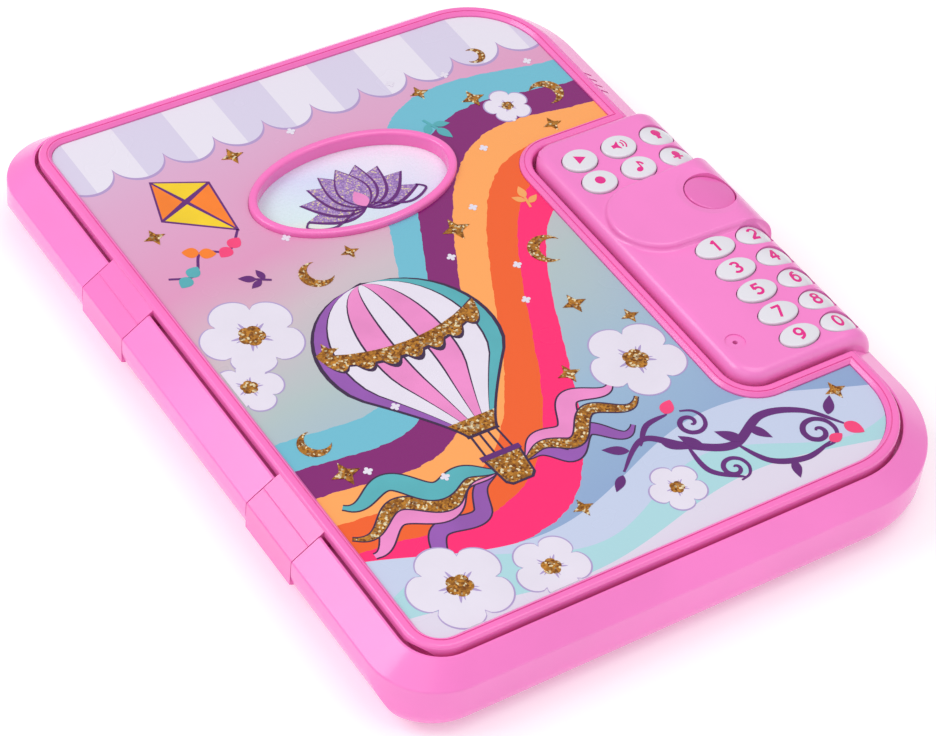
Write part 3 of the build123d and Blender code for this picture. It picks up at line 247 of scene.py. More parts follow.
SKY_HALF_HEIGHT = 112.0
SKY_BILLOW = 46.0
SKY_TILT = -0.22
SKY = (
    (0.0, colour(134, 158, 205)),
    (0.28, colour(152, 182, 210)),
    (0.46, colour(176, 192, 194)),
    (0.60, colour(205, 186, 196)),
    (0.74, colour(222, 150, 190)),
    (1.0, colour(216, 172, 206)),
)

TEAL = colour(108, 186, 208)
PURPLE = colour(128, 8, 110)
PEACH = colour(252, 165, 88)
ORANGE = colour(240, 92, 24)
HOT_PINK = colour(255, 20, 112)
RIBBON_COLOURS = (TEAL, PURPLE, PEACH, ORANGE, HOT_PINK)
RIBBON_WIDTH = 11.5
RIBBON_RISE = 62.0
RIBBON_BEND = 0.026  # how fast the ribbons swing up, per millimetre
RIBBON_MIDDLE = -4.0
RIBBON_BRUSH = 1.5
RIPPLE = 7.0
RIPPLE_RATE = 0.052

# height at the middle, swell, waves per millimetre and colour
HILLS = (
    (-84.0, 9.0, 0.045, colour(196, 206, 232)),
    (-96.0, 7.0, 0.070, colour(170, 214, 222)),
    (-106.0, 5.0, 0.050, colour(222, 214, 232)),
)

AWNING_Y = 96.0
AWNING_DROP = 9.0
AWNING_STRIPES = (colour(214, 206, 230), colour(230, 224, 238))
SCALLOP_PITCH = 17.5
SCALLOP_ROUND = 1.02  # just over 1 keeps the arcs from meeting in spikes
PAST_EDGE = 40 * SCALLOP_PITCH  # keeps the pattern's count positive on the whole page
HEM_HALF_WIDTH = 0.55
HEM_COLOUR = colour(176, 150, 200)


def printed_sheet():
    """Gloss card printed with a soft sky, five flying ribbons, a scalloped awning and hills."""
    shader = Shader("print_gloss", Specular_IOR_Level=0.5, Coat_Weight=0.35, Coat_Roughness=0.08)
    math, add, subtract, times = shader.math, shader.add, shader.subtract, shader.times
    axes = shader.axes()
    x, y = times(axes[0], 1 / MM), times(axes[1], 1 / MM)
    brush = subtract(shader.noise(300.0, 4.0), 0.5)
    cloud = subtract(shader.noise(14.0, 3.0), 0.5)

    # sky, from blue at the foot through grey green to mauve at the head
    height = add(add(times(cloud, SKY_BILLOW), y), times(x, SKY_TILT))
    sky = shader.ramp(shader.spread(height, -SKY_HALF_HEIGHT, SKY_HALF_HEIGHT), SKY)

    # ribbons that fly in one long S from the lower left to the upper right
    bend = math("TANH", times(x, RIBBON_BEND))
    ripple = times(math("SINE", times(x, RIPPLE_RATE)), RIPPLE)
    middle = add(add(times(bend, RIBBON_RISE), ripple), RIBBON_MIDDLE)
    slope = times(subtract(1.0, math("POWER", bend, 2.0)), RIBBON_RISE * RIBBON_BEND)
    stretch = math("SQRT", add(1.0, times(slope, slope)))
    across = add(math("DIVIDE", subtract(y, middle), stretch), times(brush, RIBBON_BRUSH))
    half = RIBBON_WIDTH * len(RIBBON_COLOURS) / 2
    bands = [(index / len(RIBBON_COLOURS), shade) for index, shade in enumerate(RIBBON_COLOURS)]
    ribbons = shader.ramp(shader.spread(across, half, -half), bands, sharp=True)
    picture = shader.mix(shader.less(math("ABSOLUTE", across), half), sky, ribbons)

    for level, swell, rate, shade in HILLS:
        crest = add(times(math("SINE", times(x, rate)), swell), level)
        picture = shader.mix(shader.less(y, crest), picture, shade)

    # scalloped awning across the head of the page
    half_pitch = SCALLOP_PITCH / 2
    along = add(x, PAST_EDGE)
    turn = math("DIVIDE", subtract(half_pitch, math("PINGPONG", along, half_pitch)), half_pitch)
    drop = math("SQRT", subtract(SCALLOP_ROUND, times(turn, turn)))
    hem = subtract(AWNING_Y, times(drop, AWNING_DROP))
    stripe = shader.less(math("PINGPONG", along, SCALLOP_PITCH), half_pitch)
    cloth = shader.mix(stripe, *AWNING_STRIPES)
    picture = shader.mix(math("GREATER_THAN", y, hem), picture, cloth)
    edge = shader.less(math("ABSOLUTE", subtract(y, hem)), HEM_HALF_WIDTH)
    shader.set("Base Color", shader.mix(edge, picture, HEM_COLOUR))

    shader.gloss(shader.noise(GLOSS_SCALE), 0.25, 0.28)
    shader.bump(shader.noise(40.0, 1.0), 0.02 * MM)
    return shader.material


# ---- Materials of single pieces --------------------------------------------------------------


def pearl_card():
    """The window picture's ground: a pearly pastel rainbow, run at a slant."""
    shader = Shader("pearl_card", Specular_IOR_Level=0.6, Coat_Weight=0.5, Coat_Roughness=0.1)
    axes = shader.axes()
    slant = shader.add(shader.times(axes[0], 9.0), shader.times(axes[1], 14.0))
    slant = shader.add(slant, shader.times(shader.noise(25.0), 0.6))
    lilac = colour(214, 220, 246)
    rainbow = (
        (0.0, lilac),
        (0.3, colour(244, 232, 246)),
        (0.5, colour(250, 244, 214)),
        (0.72, colour(216, 236, 240)),
        (1.0, lilac),
    )
    shader.set("Base Color", shader.ramp(shader.math("FRACT", shader.times(slant, 0.9)), rainbow))
    shader.gloss(shader.noise(900.0), 0.2, 0.36)
    shader.bump(shader.noise(2200.0), 0.01 * MM)
    return shader.material


def circuit_board():
    """Green solder mask with faint tracks."""
    shader = Shader("solder_mask", Specular_IOR_Level=0.5, Coat_Weight=0.4, Coat_Roughness=0.2)
    tracks = shader.node(
        "ShaderNodeTexBrick",
        Vector=shader.point,
        Scale=140.0,
        Color1=colour(16, 92, 52),
        Color2=colour(18, 104, 58),
        Mortar=colour(40, 136, 78),
        Mortar_Size=0.03,
    )
    shader.set("Base Color", tracks.outputs["Color"])
    shader.gloss(shader.noise(500.0), 0.32, 0.45)
    return shader.material


def page_block():
    """A block of pages: pale paper with the leaves' edges showing."""
    shader = Shader("page_block", Roughness=0.85, Specular_IOR_Level=0.2)
    leaves_up = shader.times(shader.axes()[2], 6000.0)
    upward = shader.node("ShaderNodeCombineXYZ", Z=leaves_up).outputs[0]
    leaf = shader.noise(1.0, vector=upward)
    shader.set("Base Color", shader.mix(leaf, colour(206, 200, 190), colour(250, 248, 240)))
    shader.bump(leaf, 0.1 * MM)
    return shader.material


def card_cover():
    """The notebook's card cover: pink with a spray of pale dots."""
    shader = Shader("card_cover", Specular_IOR_Level=0.4)
    dots = shader.node("ShaderNodeTexVoronoi", Scale=90.0, Randomness=0.0, Vector=shader.point)
    spot = shader.less(dots.outputs["Distance"], 0.22)
    shader.set("Base Color", shader.mix(spot, colour(240, 150, 200), colour(252, 226, 240)))
    shader.gloss(shader.noise(300.0, 4.0), 0.4, 0.55)
    shader.bump(shader.noise(2500.0), 0.02 * MM)
    return shader.material


def cell_sleeve():
    """A dry cell's printed sleeve: a teal body with a pale band towards one end."""
    shader = Shader("cell_sleeve", Metallic=0.4)
    band = shader.less(shader.axes()[1], -50 * MM)
    shader.set("Base Color", shader.mix(band, colour(40, 120, 140), colour(210, 206, 196)))
    shader.gloss(shader.noise(600.0), 0.28, 0.4)
    return shader.material


case_pink = moulded_plastic("case_pink_gloss", colour(253, 128, 207))
key_white = moulded_plastic("key_white_gloss", colour(228, 226, 234), 0.26, shift=0.01)
steel = plated_steel("zinc_plate")
NICKEL = (0.70, 0.68, 0.62, 1.0)
NODE_MATERIALS = {
    "bottom_shell": case_pink,
    "battery_door": case_pink,
    "top_frame": case_pink,
    "lid_shell": moulded_plastic("lid_pink_gloss", colour(252, 118, 197), 0.22),
    "keypad_housing": moulded_plastic("console_pink_satin", colour(250, 132, 208), 0.3),
    "open_button": moulded_plastic("open_pink_gloss", colour(240, 116, 194), 0.2),
    "lid_liner": moulded_plastic("liner_pink_matt", colour(246, 170, 214), 0.5, grain=0.02),
    "cover_print": printed_sheet(),
    "picture_insert": pearl_card(),
    "keypad_mat": soft_rubber("mat_rubber", colour(196, 196, 200)),
    "rubber_feet": soft_rubber("foot_rubber", colour(48, 44, 48)),
    "keypad_board": circuit_board(),
    "main_board": circuit_board(),
    "keypad_cable": moulded_plastic("cable_sheath", colour(170, 170, 176), 0.45),
    "speaker": soft_rubber("speaker_cone", colour(40, 38, 40)),
    "microphone": plated_steel("microphone_can", (0.7, 0.7, 0.72, 1.0), 0.4),
    "latch_solenoid": moulded_plastic("solenoid_body", colour(44, 44, 50), 0.4),
    "latch_bolt": moulded_plastic("bolt_acetal", colour(228, 226, 218), 0.38),
    "batteries": cell_sleeve(),
    "battery_springs": plated_steel("nickel_plate", NICKEL, 0.28),
    "battery_contacts": plated_steel("contact_plate", NICKEL, 0.3),
    "notebook_cover": card_cover(),
    "notebook_pages": page_block(),
}
for name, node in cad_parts.items():
    spare = key_white if "button" in name else steel
    for place in node.material_slots:
        place.material = NODE_MATERIALS.get(name, spare)


# ---- Flat printed pieces ---------------------------------------------------------------------

PRINT_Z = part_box("cover_print")[1][2]
PICTURE_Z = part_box("picture_insert")[1][2]
LAYER = 0.024 * MM  # each layer of print lies this much above the one below
LAYER_SUNK = LAYER / 2  # and starts this much under the sheet's face
LOOP_STEP = LAYER / 12  # the loops of one piece differ by this, in turns, where they overlap
LOOP_STEPS = 8
SHEET_EDGES = ((-83.6, 81.8), (-111.8, 111.8))  # X and Y that print stays within
CONSOLE_NOTCH = (41.2, -79.2, 46.9)  # X past which print stops, between these Y


def clipped(loop, keep):
    """A loop of (x, y) points cut to where keep(point) isn't negative."""
    made = []
    for index, point in enumerate(loop):
        other = loop[(index + 1) % len(loop)]
        here, there = keep(point), keep(other)
        if here >= 0:
            made.append(point)
        if (here >= 0) != (there >= 0):
            share = here / (here - there)
            made.append(tuple(a + (b - a) * share for a, b in zip(point, other)))
    return made


def on_sheet(loop):
    """A loop cut back to the printed sheet, and out of the console's notch."""
    notch_x, notch_low, notch_high = CONSOLE_NOTCH
    for axis, (low, high) in enumerate(SHEET_EDGES):
        loop = clipped(loop, lambda p: p[axis] - low)
        loop = clipped(loop, lambda p: high - p[axis])
    if any(x > notch_x and notch_low < y < notch_high for x, y in loop):
        loop = clipped(loop, lambda p: notch_x - p[0])
    return loop


def prism(mesh, loop, low, high):
    """Adds a closed prism over a loop of (x, y) in millimetres, between two heights in metres."""
    top = [mesh.verts.new((x * MM, y * MM, high)) for x, y in loop]
    bottom = [mesh.verts.new((x * MM, y * MM, low)) for x, y in loop]
    mesh.faces.new(top)
    mesh.faces.new(bottom[::-1])
    for index in range(len(loop)):
        after = (index + 1) % len(loop)
        mesh.faces.new((top[after], top[index], bottom[index], bottom[after]))


def stand(name, data):
    """Puts new data in the scene as an object."""
    made = bpy.data.objects.new(name, data)
    bpy.context.collection.objects.link(made)
    return made


def finished(mesh, name, material, body):
    """Turns a bmesh into a piece that rides on a body."""
    mesh.normal_update()
    wide = [face for face in mesh.faces if len(face.verts) > 4]
    bmesh.ops.triangulate(mesh, faces=wide, ngon_method="EAR_CLIP")
    bmesh.ops.recalc_face_normals(mesh, faces=mesh.faces)
    data = bpy.data.meshes.new(name)
    mesh.to_mesh(data)
    mesh.free()
    data.materials.append(material)
    piece = stand(name, data)
    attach(piece, body)
    return piece


def print_layer(name, loops, level, material, ground):
    """One colour of print: thin prisms that lie on a ground at a height in metres."""
    mesh = bmesh.new()
    for index, loop in enumerate(loops):
        if len(loop) > 2:
            top = ground + level * LAYER + (index % LOOP_STEPS) * LOOP_STEP
            prism(mesh, loop, ground - LAYER_SUNK, top)
    return finished(mesh, name, material, "lid")


def print_piece(name, loops, level, material):
    """A layer of print on the lid's sheet."""
    loops = [on_sheet(loop) for loop in loops]
    return print_layer(name, loops, level, material, PRINT_Z)


def picture_piece(name, loops, level, material):
    """A layer of print on the window's picture."""
    return print_layer(name, loops, level, material, PICTURE_Z)


# ---- Shapes, as loops of points in millimetres -----------------------------------------------


def placed(loop, x, y, turn=0.0, size=1.0):
    """A loop turned by degrees, sized and moved."""
    c, s = cos(radians(turn)) * size, sin(radians(turn)) * size
    return [(x + px * c - py * s, y + px * s + py * c) for px, py in loop]


def oval(half_x, half_y, count):
    """An ellipse."""
    turns = [2 * pi * i / count for i in range(count)]
    return [(half_x * cos(a), half_y * sin(a)) for a in turns]


def petal(length, width, point=1.0, count=14):
    """A petal from the origin along +Y. A larger point makes a sharper tip."""
    shares = [i / count for i in range(count)]
    side = [(width / 2 * sin(pi * share**0.8) ** point, length * share) for share in shares]
    return side + [(0.0, length)] + [(-x, y) for x, y in side[:0:-1]]


def blossom(radius, petals=5, depth=0.30, count=90):
    """A round-lobed flower's outline."""
    loop = []
    for i in range(count):
        angle = 2 * pi * i / count
        lobe = abs(cos(petals * angle / 2)) ** 0.55
        reach = radius * (1 - depth + depth * lobe)
        loop.append((reach * sin(angle), reach * cos(angle)))
    return loop


def star_diamond(radius, waist=0.42):
    """A diamond with hollow sides."""
    loop = []
    for i in range(8):
        reach = radius if i % 2 == 0 else radius * waist
        loop.append((reach * sin(pi * i / 4), reach * cos(pi * i / 4)))
    return loop


def crescent(radius, hollow=0.8, offset=0.42, count=20):
    """A crescent moon, open to +X."""
    tip_x = (1 - hollow * hollow + offset * offset) / (2 * offset)
    tip_y = sqrt(1 - tip_x * tip_x)
    outer_start, inner_start = atan2(tip_y, tip_x), atan2(tip_y, tip_x - offset)
    loop = []
    for i in range(count + 1):
        a = outer_start + (2 * pi - 2 * outer_start) * i / count
        loop.append((radius * cos(a), radius * sin(a)))
    for i in range(1, count):
        a = 2 * pi - inner_start - (2 * pi - 2 * inner_start) * i / count
        loop.append((radius * (offset + hollow * cos(a)), radius * hollow * sin(a)))
    return loop


def smooth(points, steps=12):
    """A Catmull-Rom curve through points."""
    ends = [points[0], *points, points[-1]]
    path = []
    for quad in zip(ends, ends[1:], ends[2:], ends[3:]):
        for i in range(steps):
            t = i / steps
            spot = []
            for p, q, r, u in zip(*quad):
                square, cube = 2 * p - 5 * q + 4 * r - u, 3 * q - p - 3 * r + u
                spot.append(0.5 * (2 * q + (r - p) * t + square * t * t + cube * t**3))
            path.append(tuple(spot))
    return path + [points[-1]]


TIP_SHARE = 0.02  # a stroke's tips stay as wide as it is this far in, so that they don't close


def stroke(points, width, tips, steps=12):
    """A smooth brush stroke through points, whose width swells from its tips to its middle."""
    path = smooth(points, steps)
    left, right = [], []
    for i, (x, y) in enumerate(path):
        before, after = path[max(i - 1, 0)], path[min(i + 1, len(path) - 1)]
        dx, dy = after[0] - before[0], after[1] - before[1]
        length = max(sqrt(dx * dx + dy * dy), 1e-6)
        share = min(max(i / (len(path) - 1), TIP_SHARE), 1 - TIP_SHARE)
        half = width / 2 * (tips + (1 - tips) * sin(pi * share) ** 0.7)
        nx, ny = -dy / length, dx / length
        left.append((x + nx * half, y + ny * half))
        right.append((x - nx * half, y - ny * half))
    return left + right[::-1]


SCROLL_EYE = 0.08  # how far from its middle a scroll ends, as a share of its radius


def spiral(x, y, radius, turns, start, width, hand=1, count=8):
    """A scroll that winds in almost to (x, y)."""
    points = []
    total = int(count * turns) + 1
    for i in range(total + 1):
        share = i / total
        angle = radians(start) + hand * 2 * pi * turns * share
        reach = radius * (1 - share) ** 0.8 + radius * SCROLL_EYE
        points.append((x + reach * cos(angle), y + reach * sin(angle)))
    return stroke(points, width, 0.3, 5)


# ---- Inks ------------------------------------------------------------------------------------

WHITE_INK = ink("white_ink", colour(230, 223, 238), 0.02)
SHADE_INK = ink("lilac_shade_ink", colour(176, 156, 206), 0.03)
OUTLINE_INK = ink("dark_outline_ink", colour(52, 20, 66), 0.0)
PURPLE_INK = ink("purple_ink", colour(98, 22, 118))
VIOLET_INK = ink("violet_ink", colour(150, 84, 178))
PINK_INK = ink("pink_ink", colour(240, 140, 204))
HOT_INK = ink("hot_pink_ink", colour(252, 62, 124))
TEAL_INK = ink("teal_ink", colour(84, 176, 186))
PEACH_INK = ink("peach_ink", colour(252, 172, 96))
ORANGE_INK = ink("orange_ink", colour(252, 128, 24))
YELLOW_INK = ink("yellow_ink", colour(246, 208, 24))
GOLD = glitter("gold_glitter", colour(120, 62, 14), colour(218, 148, 52))
LILAC_GLITTER = glitter("lilac_glitter", colour(150, 110, 196), colour(210, 176, 232), 2200.0)

# ---- The big balloon -------------------------------------------------------------------------

BALLOON_X, BALLOON_Y, BALLOON_R = -29.0, -12.0, 28.0
SHOULDER = 0.45  # in radii below the middle, where the round crown turns into the cone
MOUTH = 1.42  # in radii below the middle
MOUTH_SHARE = 0.16
MOUTH_Y = BALLOON_Y - MOUTH * BALLOON_R
CROWN_Y = BALLOON_Y + BALLOON_R


def balloon_reach(y):
    """Half width of the balloon at a height, as a share of its radius."""
    rise = (y - BALLOON_Y) / BALLOON_R
    if rise >= -SHOULDER:
        return sqrt(max(0.0, 1 - rise * rise))
    fall = min(1.0, (-SHOULDER - rise) / (MOUTH - SHOULDER))
    return sqrt(1 - SHOULDER**2) * (1 - fall) ** 1.15 + MOUTH_SHARE * fall


def gore(left_share, right_share, low=MOUTH_Y, high=CROWN_Y, grow=0.0, count=26):
    """The part of the balloon between two shares of its width, and two heights."""
    heights = [low + (high - low) * (0.5 - 0.5 * cos(pi * i / count)) for i in range(count + 1)]

    def edge(share, height):
        return BALLOON_X + share * (balloon_reach(height) * BALLOON_R + grow)

    up = [(edge(right_share, height), height) for height in heights]
    down = [(edge(left_share, height), height) for height in heights[-2:0:-1]]
    bottom = [(edge(left_share, low), low)]
    return up + down + bottom


BAND_SAG = 0.9  # how far the band hangs in the middle, as a share of its depth
BAND_ENDS = 0.2  # its depth where two scallops meet, as a share of the whole


def scallops(y, depth, count=7, grow=0.0):
    """A scalloped band across the balloon, below y."""
    reach = balloon_reach(y) * BALLOON_R + grow

    def spot(share, drop):
        sag = depth * BAND_SAG * (1 - share * share)
        return BALLOON_X + share * reach, y - drop - sag

    ends = depth * BAND_ENDS
    loop = [spot(-1.0, 0.0), spot(-1.0, ends)]
    for i in range(count):
        start = -1 + 2 * i / count
        for j in range(1, 8):
            drop = depth * (BAND_ENDS + (1 - BAND_ENDS) * sin(pi * j / 8) ** 0.6)
            loop.append(spot(start + 2 / count * j / 8, drop))
    loop += [spot(1.0, ends), spot(1.0, 0.0)]
    return loop + [spot(1 - 2 * i / 12, 0.0) for i in range(1, 12)]


# the balloon's gores, between two shares of its half width
GORES = (
    (-1.0, -0.80, "violet"),
    (-0.80, -0.46, "white"),
    (-0.46, -0.15, "pink"),
    (-0.15, 0.15, "white"),
    (0.15, 0.46, "pink"),
    (0.46, 0.80, "white"),
    (0.80, 1.0, "teal"),
)
GORE_INKS = {"white": WHITE_INK, "pink": PINK_INK, "violet": VIOLET_INK, "teal": TEAL_INK}
GORE_GAP = 0.012
OUTLINE = 0.9
outline = gore(-1, 1, MOUTH_Y - 1.0, CROWN_Y + OUTLINE, OUTLINE)
print_piece("art_balloon_outline", [outline], 2, OUTLINE_INK)
for tint, shade in GORE_INKS.items():
    gores = [gore(left + GORE_GAP, right - GORE_GAP) for left, right, own in GORES if own == tint]
    print_piece(f"art_balloon_{tint}", gores, 3, shade)
print_piece("art_balloon_band_edge", [scallops(BALLOON_Y + 8.6, 8.4, grow=0.2)], 4, OUTLINE_INK)
print_piece("art_balloon_band", [scallops(BALLOON_Y + 8.0, 7.2)], 5, GOLD)
print_piece("art_balloon_skirt", [gore(-1, 1, MOUTH_Y, MOUTH_Y + 6.0)], 5, GOLD)

BASKET_Y = MOUTH_Y - 16.0
BASKET = ((-5.6, 6.4), (-4.4, -3.6), (-3.0, -5.0), (3.0, -5.0), (4.4, -3.6), (5.6, 6.4))
RIM_Y = BASKET_Y + 6.4
RIM_HALF = 6.6
ropes = [
    stroke([(BALLOON_X + side * 4.2, MOUTH_Y), (BALLOON_X + side * 4.6, BASKET_Y + 6)], 0.7, 1.0, 2)
    for side in (-1, -0.33, 0.33, 1)
]
rim = stroke([(BALLOON_X - RIM_HALF, RIM_Y), (BALLOON_X + RIM_HALF, RIM_Y)], 2.0, 0.9, 2)
print_piece("art_ropes", ropes, 3, OUTLINE_INK)
print_piece("art_basket_edge", [placed(BASKET, BALLOON_X, BASKET_Y, size=1.16)], 3, OUTLINE_INK)
print_piece("art_basket", [placed(BASKET, BALLOON_X, BASKET_Y)], 4, GOLD)
print_piece("art_basket_rim", [rim], 5, PURPLE_INK)

# streamers that blow away from the basket: ink, width, where they end, and the turn of their waves
STREAMERS = (
    (VIOLET_INK, 5.0, (-45, -22), 200),
    (PINK_INK, 7.0, (-52, -10), 150),
    (GOLD, 4.4, (-54, -1), 190),
    (TEAL_INK, 6.4, (-50, 10), 170),
    (VIOLET_INK, 4.6, (40, -1), 20),
    (PINK_INK, 5.8, (43, 16), 350),
    (GOLD, 4.0, (47, 8), 10),
)
STREAMER_SWAY = 3.4
STREAMER_WAVES = 1.9
STREAMER_START = 5  # to each side of the basket's middle
STREAMER_RISE = 0.3  # in layers, from one streamer to the next


def streamer_path(end_x, end_y, turn, count=30):
    """A waving line from the basket's rim, whose waves grow in its first stretch."""
    reach = sqrt(end_x * end_x + end_y * end_y)
    path = []
    for i in range(count + 1):
        t = i / count
        wave = sin(2 * pi * STREAMER_WAVES * t + radians(turn)) - sin(radians(turn))
        sway = STREAMER_SWAY * min(1.0, 3 * t) * wave
        start_x = STREAMER_START if end_x > 0 else -STREAMER_START
        x = start_x * (1 - t) + end_x * t - sway * end_y / reach
        path.append((BALLOON_X + x, BASKET_Y + 1 + end_y * t + sway * end_x / reach))
    return path


for index, (shade, width, end, turn) in enumerate(STREAMERS):
    path = streamer_path(*end, turn)
    level = 1 + STREAMER_RISE * index
    edge = stroke(path, width + 1.1, 0.2, 2)
    print_piece(f"art_streamer_edge_{index + 1}", [edge], level, OUTLINE_INK)
    fill = stroke(path, width, 0.08, 2)
    print_piece(f"art_streamer_{index + 1}", [fill], level + STREAMER_RISE / 2, shade)

# ---- The kite --------------------------------------------------------------------------------

KITE = (-57.0, 72.0, 24.0)  # middle, and turn in degrees
KITE_TOP, KITE_SIDE, KITE_FOOT = 13.0, 11.0, 19.0
KITE_CORNERS = ((0, KITE_TOP), (KITE_SIDE, 0), (0, -KITE_FOOT), (-KITE_SIDE, 0))
KITE_TAIL = ((-49, 54), (-56, 47), (-64, 50), (-70, 42), (-78, 44))
BOWS = ((-55, 48, 30, HOT_INK), (-64.5, 50, -30, ORANGE_INK), (-72, 42, 35, TEAL_INK))
PANEL_SIZE = 0.95
PANEL_SHIFT = 0.03
outline = [(x * 1.09, y * 1.08) for x, y in KITE_CORNERS]
print_piece("art_kite_edge", [placed(outline, *KITE)], 2, PURPLE_INK)
for index, shade in enumerate((YELLOW_INK, ORANGE_INK, YELLOW_INK, ORANGE_INK)):
    first, second = KITE_CORNERS[index], KITE_CORNERS[(index + 1) % 4]
    out_x, out_y = ((a + b) * PANEL_SHIFT for a, b in zip(first, second))
    panel = [
        (x * PANEL_SIZE + out_x, y * PANEL_SIZE + out_y) for x, y in ((out_x, out_y), first, second)
    ]
    print_piece(f"art_kite_panel_{index + 1}", [placed(panel, *KITE)], 3, shade)
print_piece("art_kite_tail", [stroke(KITE_TAIL, 0.9, 0.9)], 2, PURPLE_INK)
for number, (x, y, turn, shade) in enumerate(BOWS, 1):
    bow = [placed(petal(5.2, 4.4, 0.8), x, y, turn + side) for side in (90, -90)]
    print_piece(f"art_bow_{number}", bow, 3, shade)

# ---- White blossoms with gilt hearts ---------------------------------------------------------

# middle, radius and turn of each
BLOSSOMS = (
    (-68.0, 12.0, 15.5, 10),
    (-79.0, -6.0, 10.0, 40),
    (27.0, -48.0, 15.0, 24),
    (56.0, 66.0, 7.5, 0),
    (-66.0, -98.0, 15.0, 8),
    (-40.0, -104.0, 11.0, 30),
    (8.0, -96.0, 8.5, 16),
)
VEINS = ((0.42, 0.07, 0), (0.36, 0.045, 14))  # length and width, in radii, and turn in each lobe
edges, flowers, veins, hearts = [], [], [], []
for x, y, r, turn in BLOSSOMS:
    edges.append(placed(blossom(r + 0.5), x, y, turn))
    flowers.append(placed(blossom(r), x, y, turn))
    for lobe in range(5):
        for length, width, lean in VEINS:
            vein = petal(r * length, r * width, 0.6)
            veins.append(placed(vein, x, y, turn + 72 * lobe + lean))
    hearts.append(placed(blossom(r * 0.27, 5, 0.2), x, y, turn + 20))
print_piece("art_blossom_edges", edges, 2, SHADE_INK)
print_piece("art_blossoms", flowers, 3, WHITE_INK)
print_piece("art_blossom_veins", veins, 4, SHADE_INK)
print_piece("art_blossom_hearts", hearts, 5, GOLD)

# ---- The purple vine -------------------------------------------------------------------------

# the points and width of each stroke
VINE = (
    (((-2, -84), (10, -76), (20, -84), (32, -90), (46, -84), (58, -88), (66, -98)), 3.0),
    (((8, -78), (14, -72), (22, -71)), 1.8),
    (((33, -90), (38, -100), (48, -104), (58, -102)), 2.2),
    (((20, -84), (20, -95), (28, -102)), 1.8),
)
# middle, radius, number of turns, turn at the start, width and hand
SCROLLS = (
    (26, -77, 5.0, 1.5, 90, 1.6, -1),
    (57, -97, 6.0, 1.6, 250, 1.8, 1),
    (27, -97.5, 4.6, 1.5, 260, 1.5, 1),
)
# foot, turn and length of each leaf and bud
LEAVES = (
    (4, -78, 60, 8.0),
    (14, -79, -140, 8.0),
    (24, -87, 30, 8.5),
    (36, -90, 40, 9.0),
    (40, -86, -150, 8.0),
    (50, -85, 20, 8.0),
    (44, -103, 160, 7.0),
    (64, -93, -40, 8.0),
    (-3, -85, 130, 7.0),
)
BUDS = ((21.5, -70.5, -50, 6.0), (66, -98, -150, 6.5), (58, -102, -80, 5.0))
leaves = [placed(petal(length, length * 0.42), x, y, turn) for x, y, turn, length in LEAVES]
buds = [placed(petal(length, length * 0.7, 0.8), x, y, turn) for x, y, turn, length in BUDS]
print_piece("art_vine", [stroke(points, width, 0.12) for points, width in VINE], 3, PURPLE_INK)
print_piece("art_vine_scrolls", [spiral(*scroll) for scroll in SCROLLS], 4, PURPLE_INK)
print_piece("art_vine_leaves", leaves, 4, PURPLE_INK)
print_piece("art_vine_buds", buds, 5, HOT_INK)

# ---- Gilt moons and diamonds, small sprigs and white sparks ----------------------------------

# middle and size, and a moon's turn
MOONS = (
    (-38, 26, 5.4, 20),
    (30, 4, 6.0, -30),
    (71, 66, 5.6, 200),
    (-74, -34, 5.0, 30),
    (60, 92, 3.6, 160),
)
DIAMONDS = (
    (-73, 62, 2.8), (-52, -4, 3.0), (10, 24, 3.8), (24, -20, 3.2), (36, -32, 2.4),
    (-72, -48, 3.6), (6, -44, 3.0), (48, 74, 3.2), (-34, 84, 3.0), (34, 84, 2.6),
    (-24, 30, 2.4), (64, 52, 2.6), (-20, -90, 2.6), (72, -86, 2.8),
)
SPARKS = (
    (-66, -50), (-48, -62), (2, 14), (20, 30), (38, 52), (54, 60), (74, 82),
    (-12, 86), (28, 92), (-38, 44), (12, -12), (18, 2), (46, 88), (-46, -32),
)
# ink, foot, turn and size
SPRIGS = (
    ("peach", PEACH_INK, 36, 22, -10, 10),
    ("purple", PURPLE_INK, -51, 30, 60, 10),
    ("teal", TEAL_INK, 28, 72, 200, 12),
)
# a sprig's leaves: side, height and length in its own size, and lean in degrees
SPRIG_LEAVES = ((0, 0.45, 0.55, 0), (-0.04, 0.3, 0.46, 52), (0.04, 0.2, 0.46, -52))


def sprig(x, y, turn, size):
    """A small stem with a leaf at its tip and one at each side."""
    stem = stroke([(0, 0), (0.02, size * 0.3), (0, size * 0.6)], size * 0.08, 0.9, 3)
    loops = [placed(stem, x, y, turn)]
    for side, height, length, lean in SPRIG_LEAVES:
        leaf = placed(petal(size * length, size * length * 0.5), side * size, height * size, lean)
        loops.append(placed(leaf, x, y, turn))
    return loops


moons = [placed(crescent(r), x, y, turn) for x, y, r, turn in MOONS]
diamonds = [placed(star_diamond(r * 1.3), x, y) for x, y, r in DIAMONDS]
sparks = [placed(blossom(1.5, 4, 0.66), x, y) for x, y in SPARKS]
print_piece("art_moons", moons, 6, GOLD)
print_piece("art_diamonds", diamonds, 6, GOLD)
print_piece("art_sparks", sparks, 6, WHITE_INK)
for tint, shade, x, y, turn, size in SPRIGS:
    print_piece(f"art_{tint}_sprig", sprig(x, y, turn, size), 6, shade)

# ---- The window's picture: a glittering water lily -------------------------------------------

LILY_X, LILY_Y = -7.1, 48.0
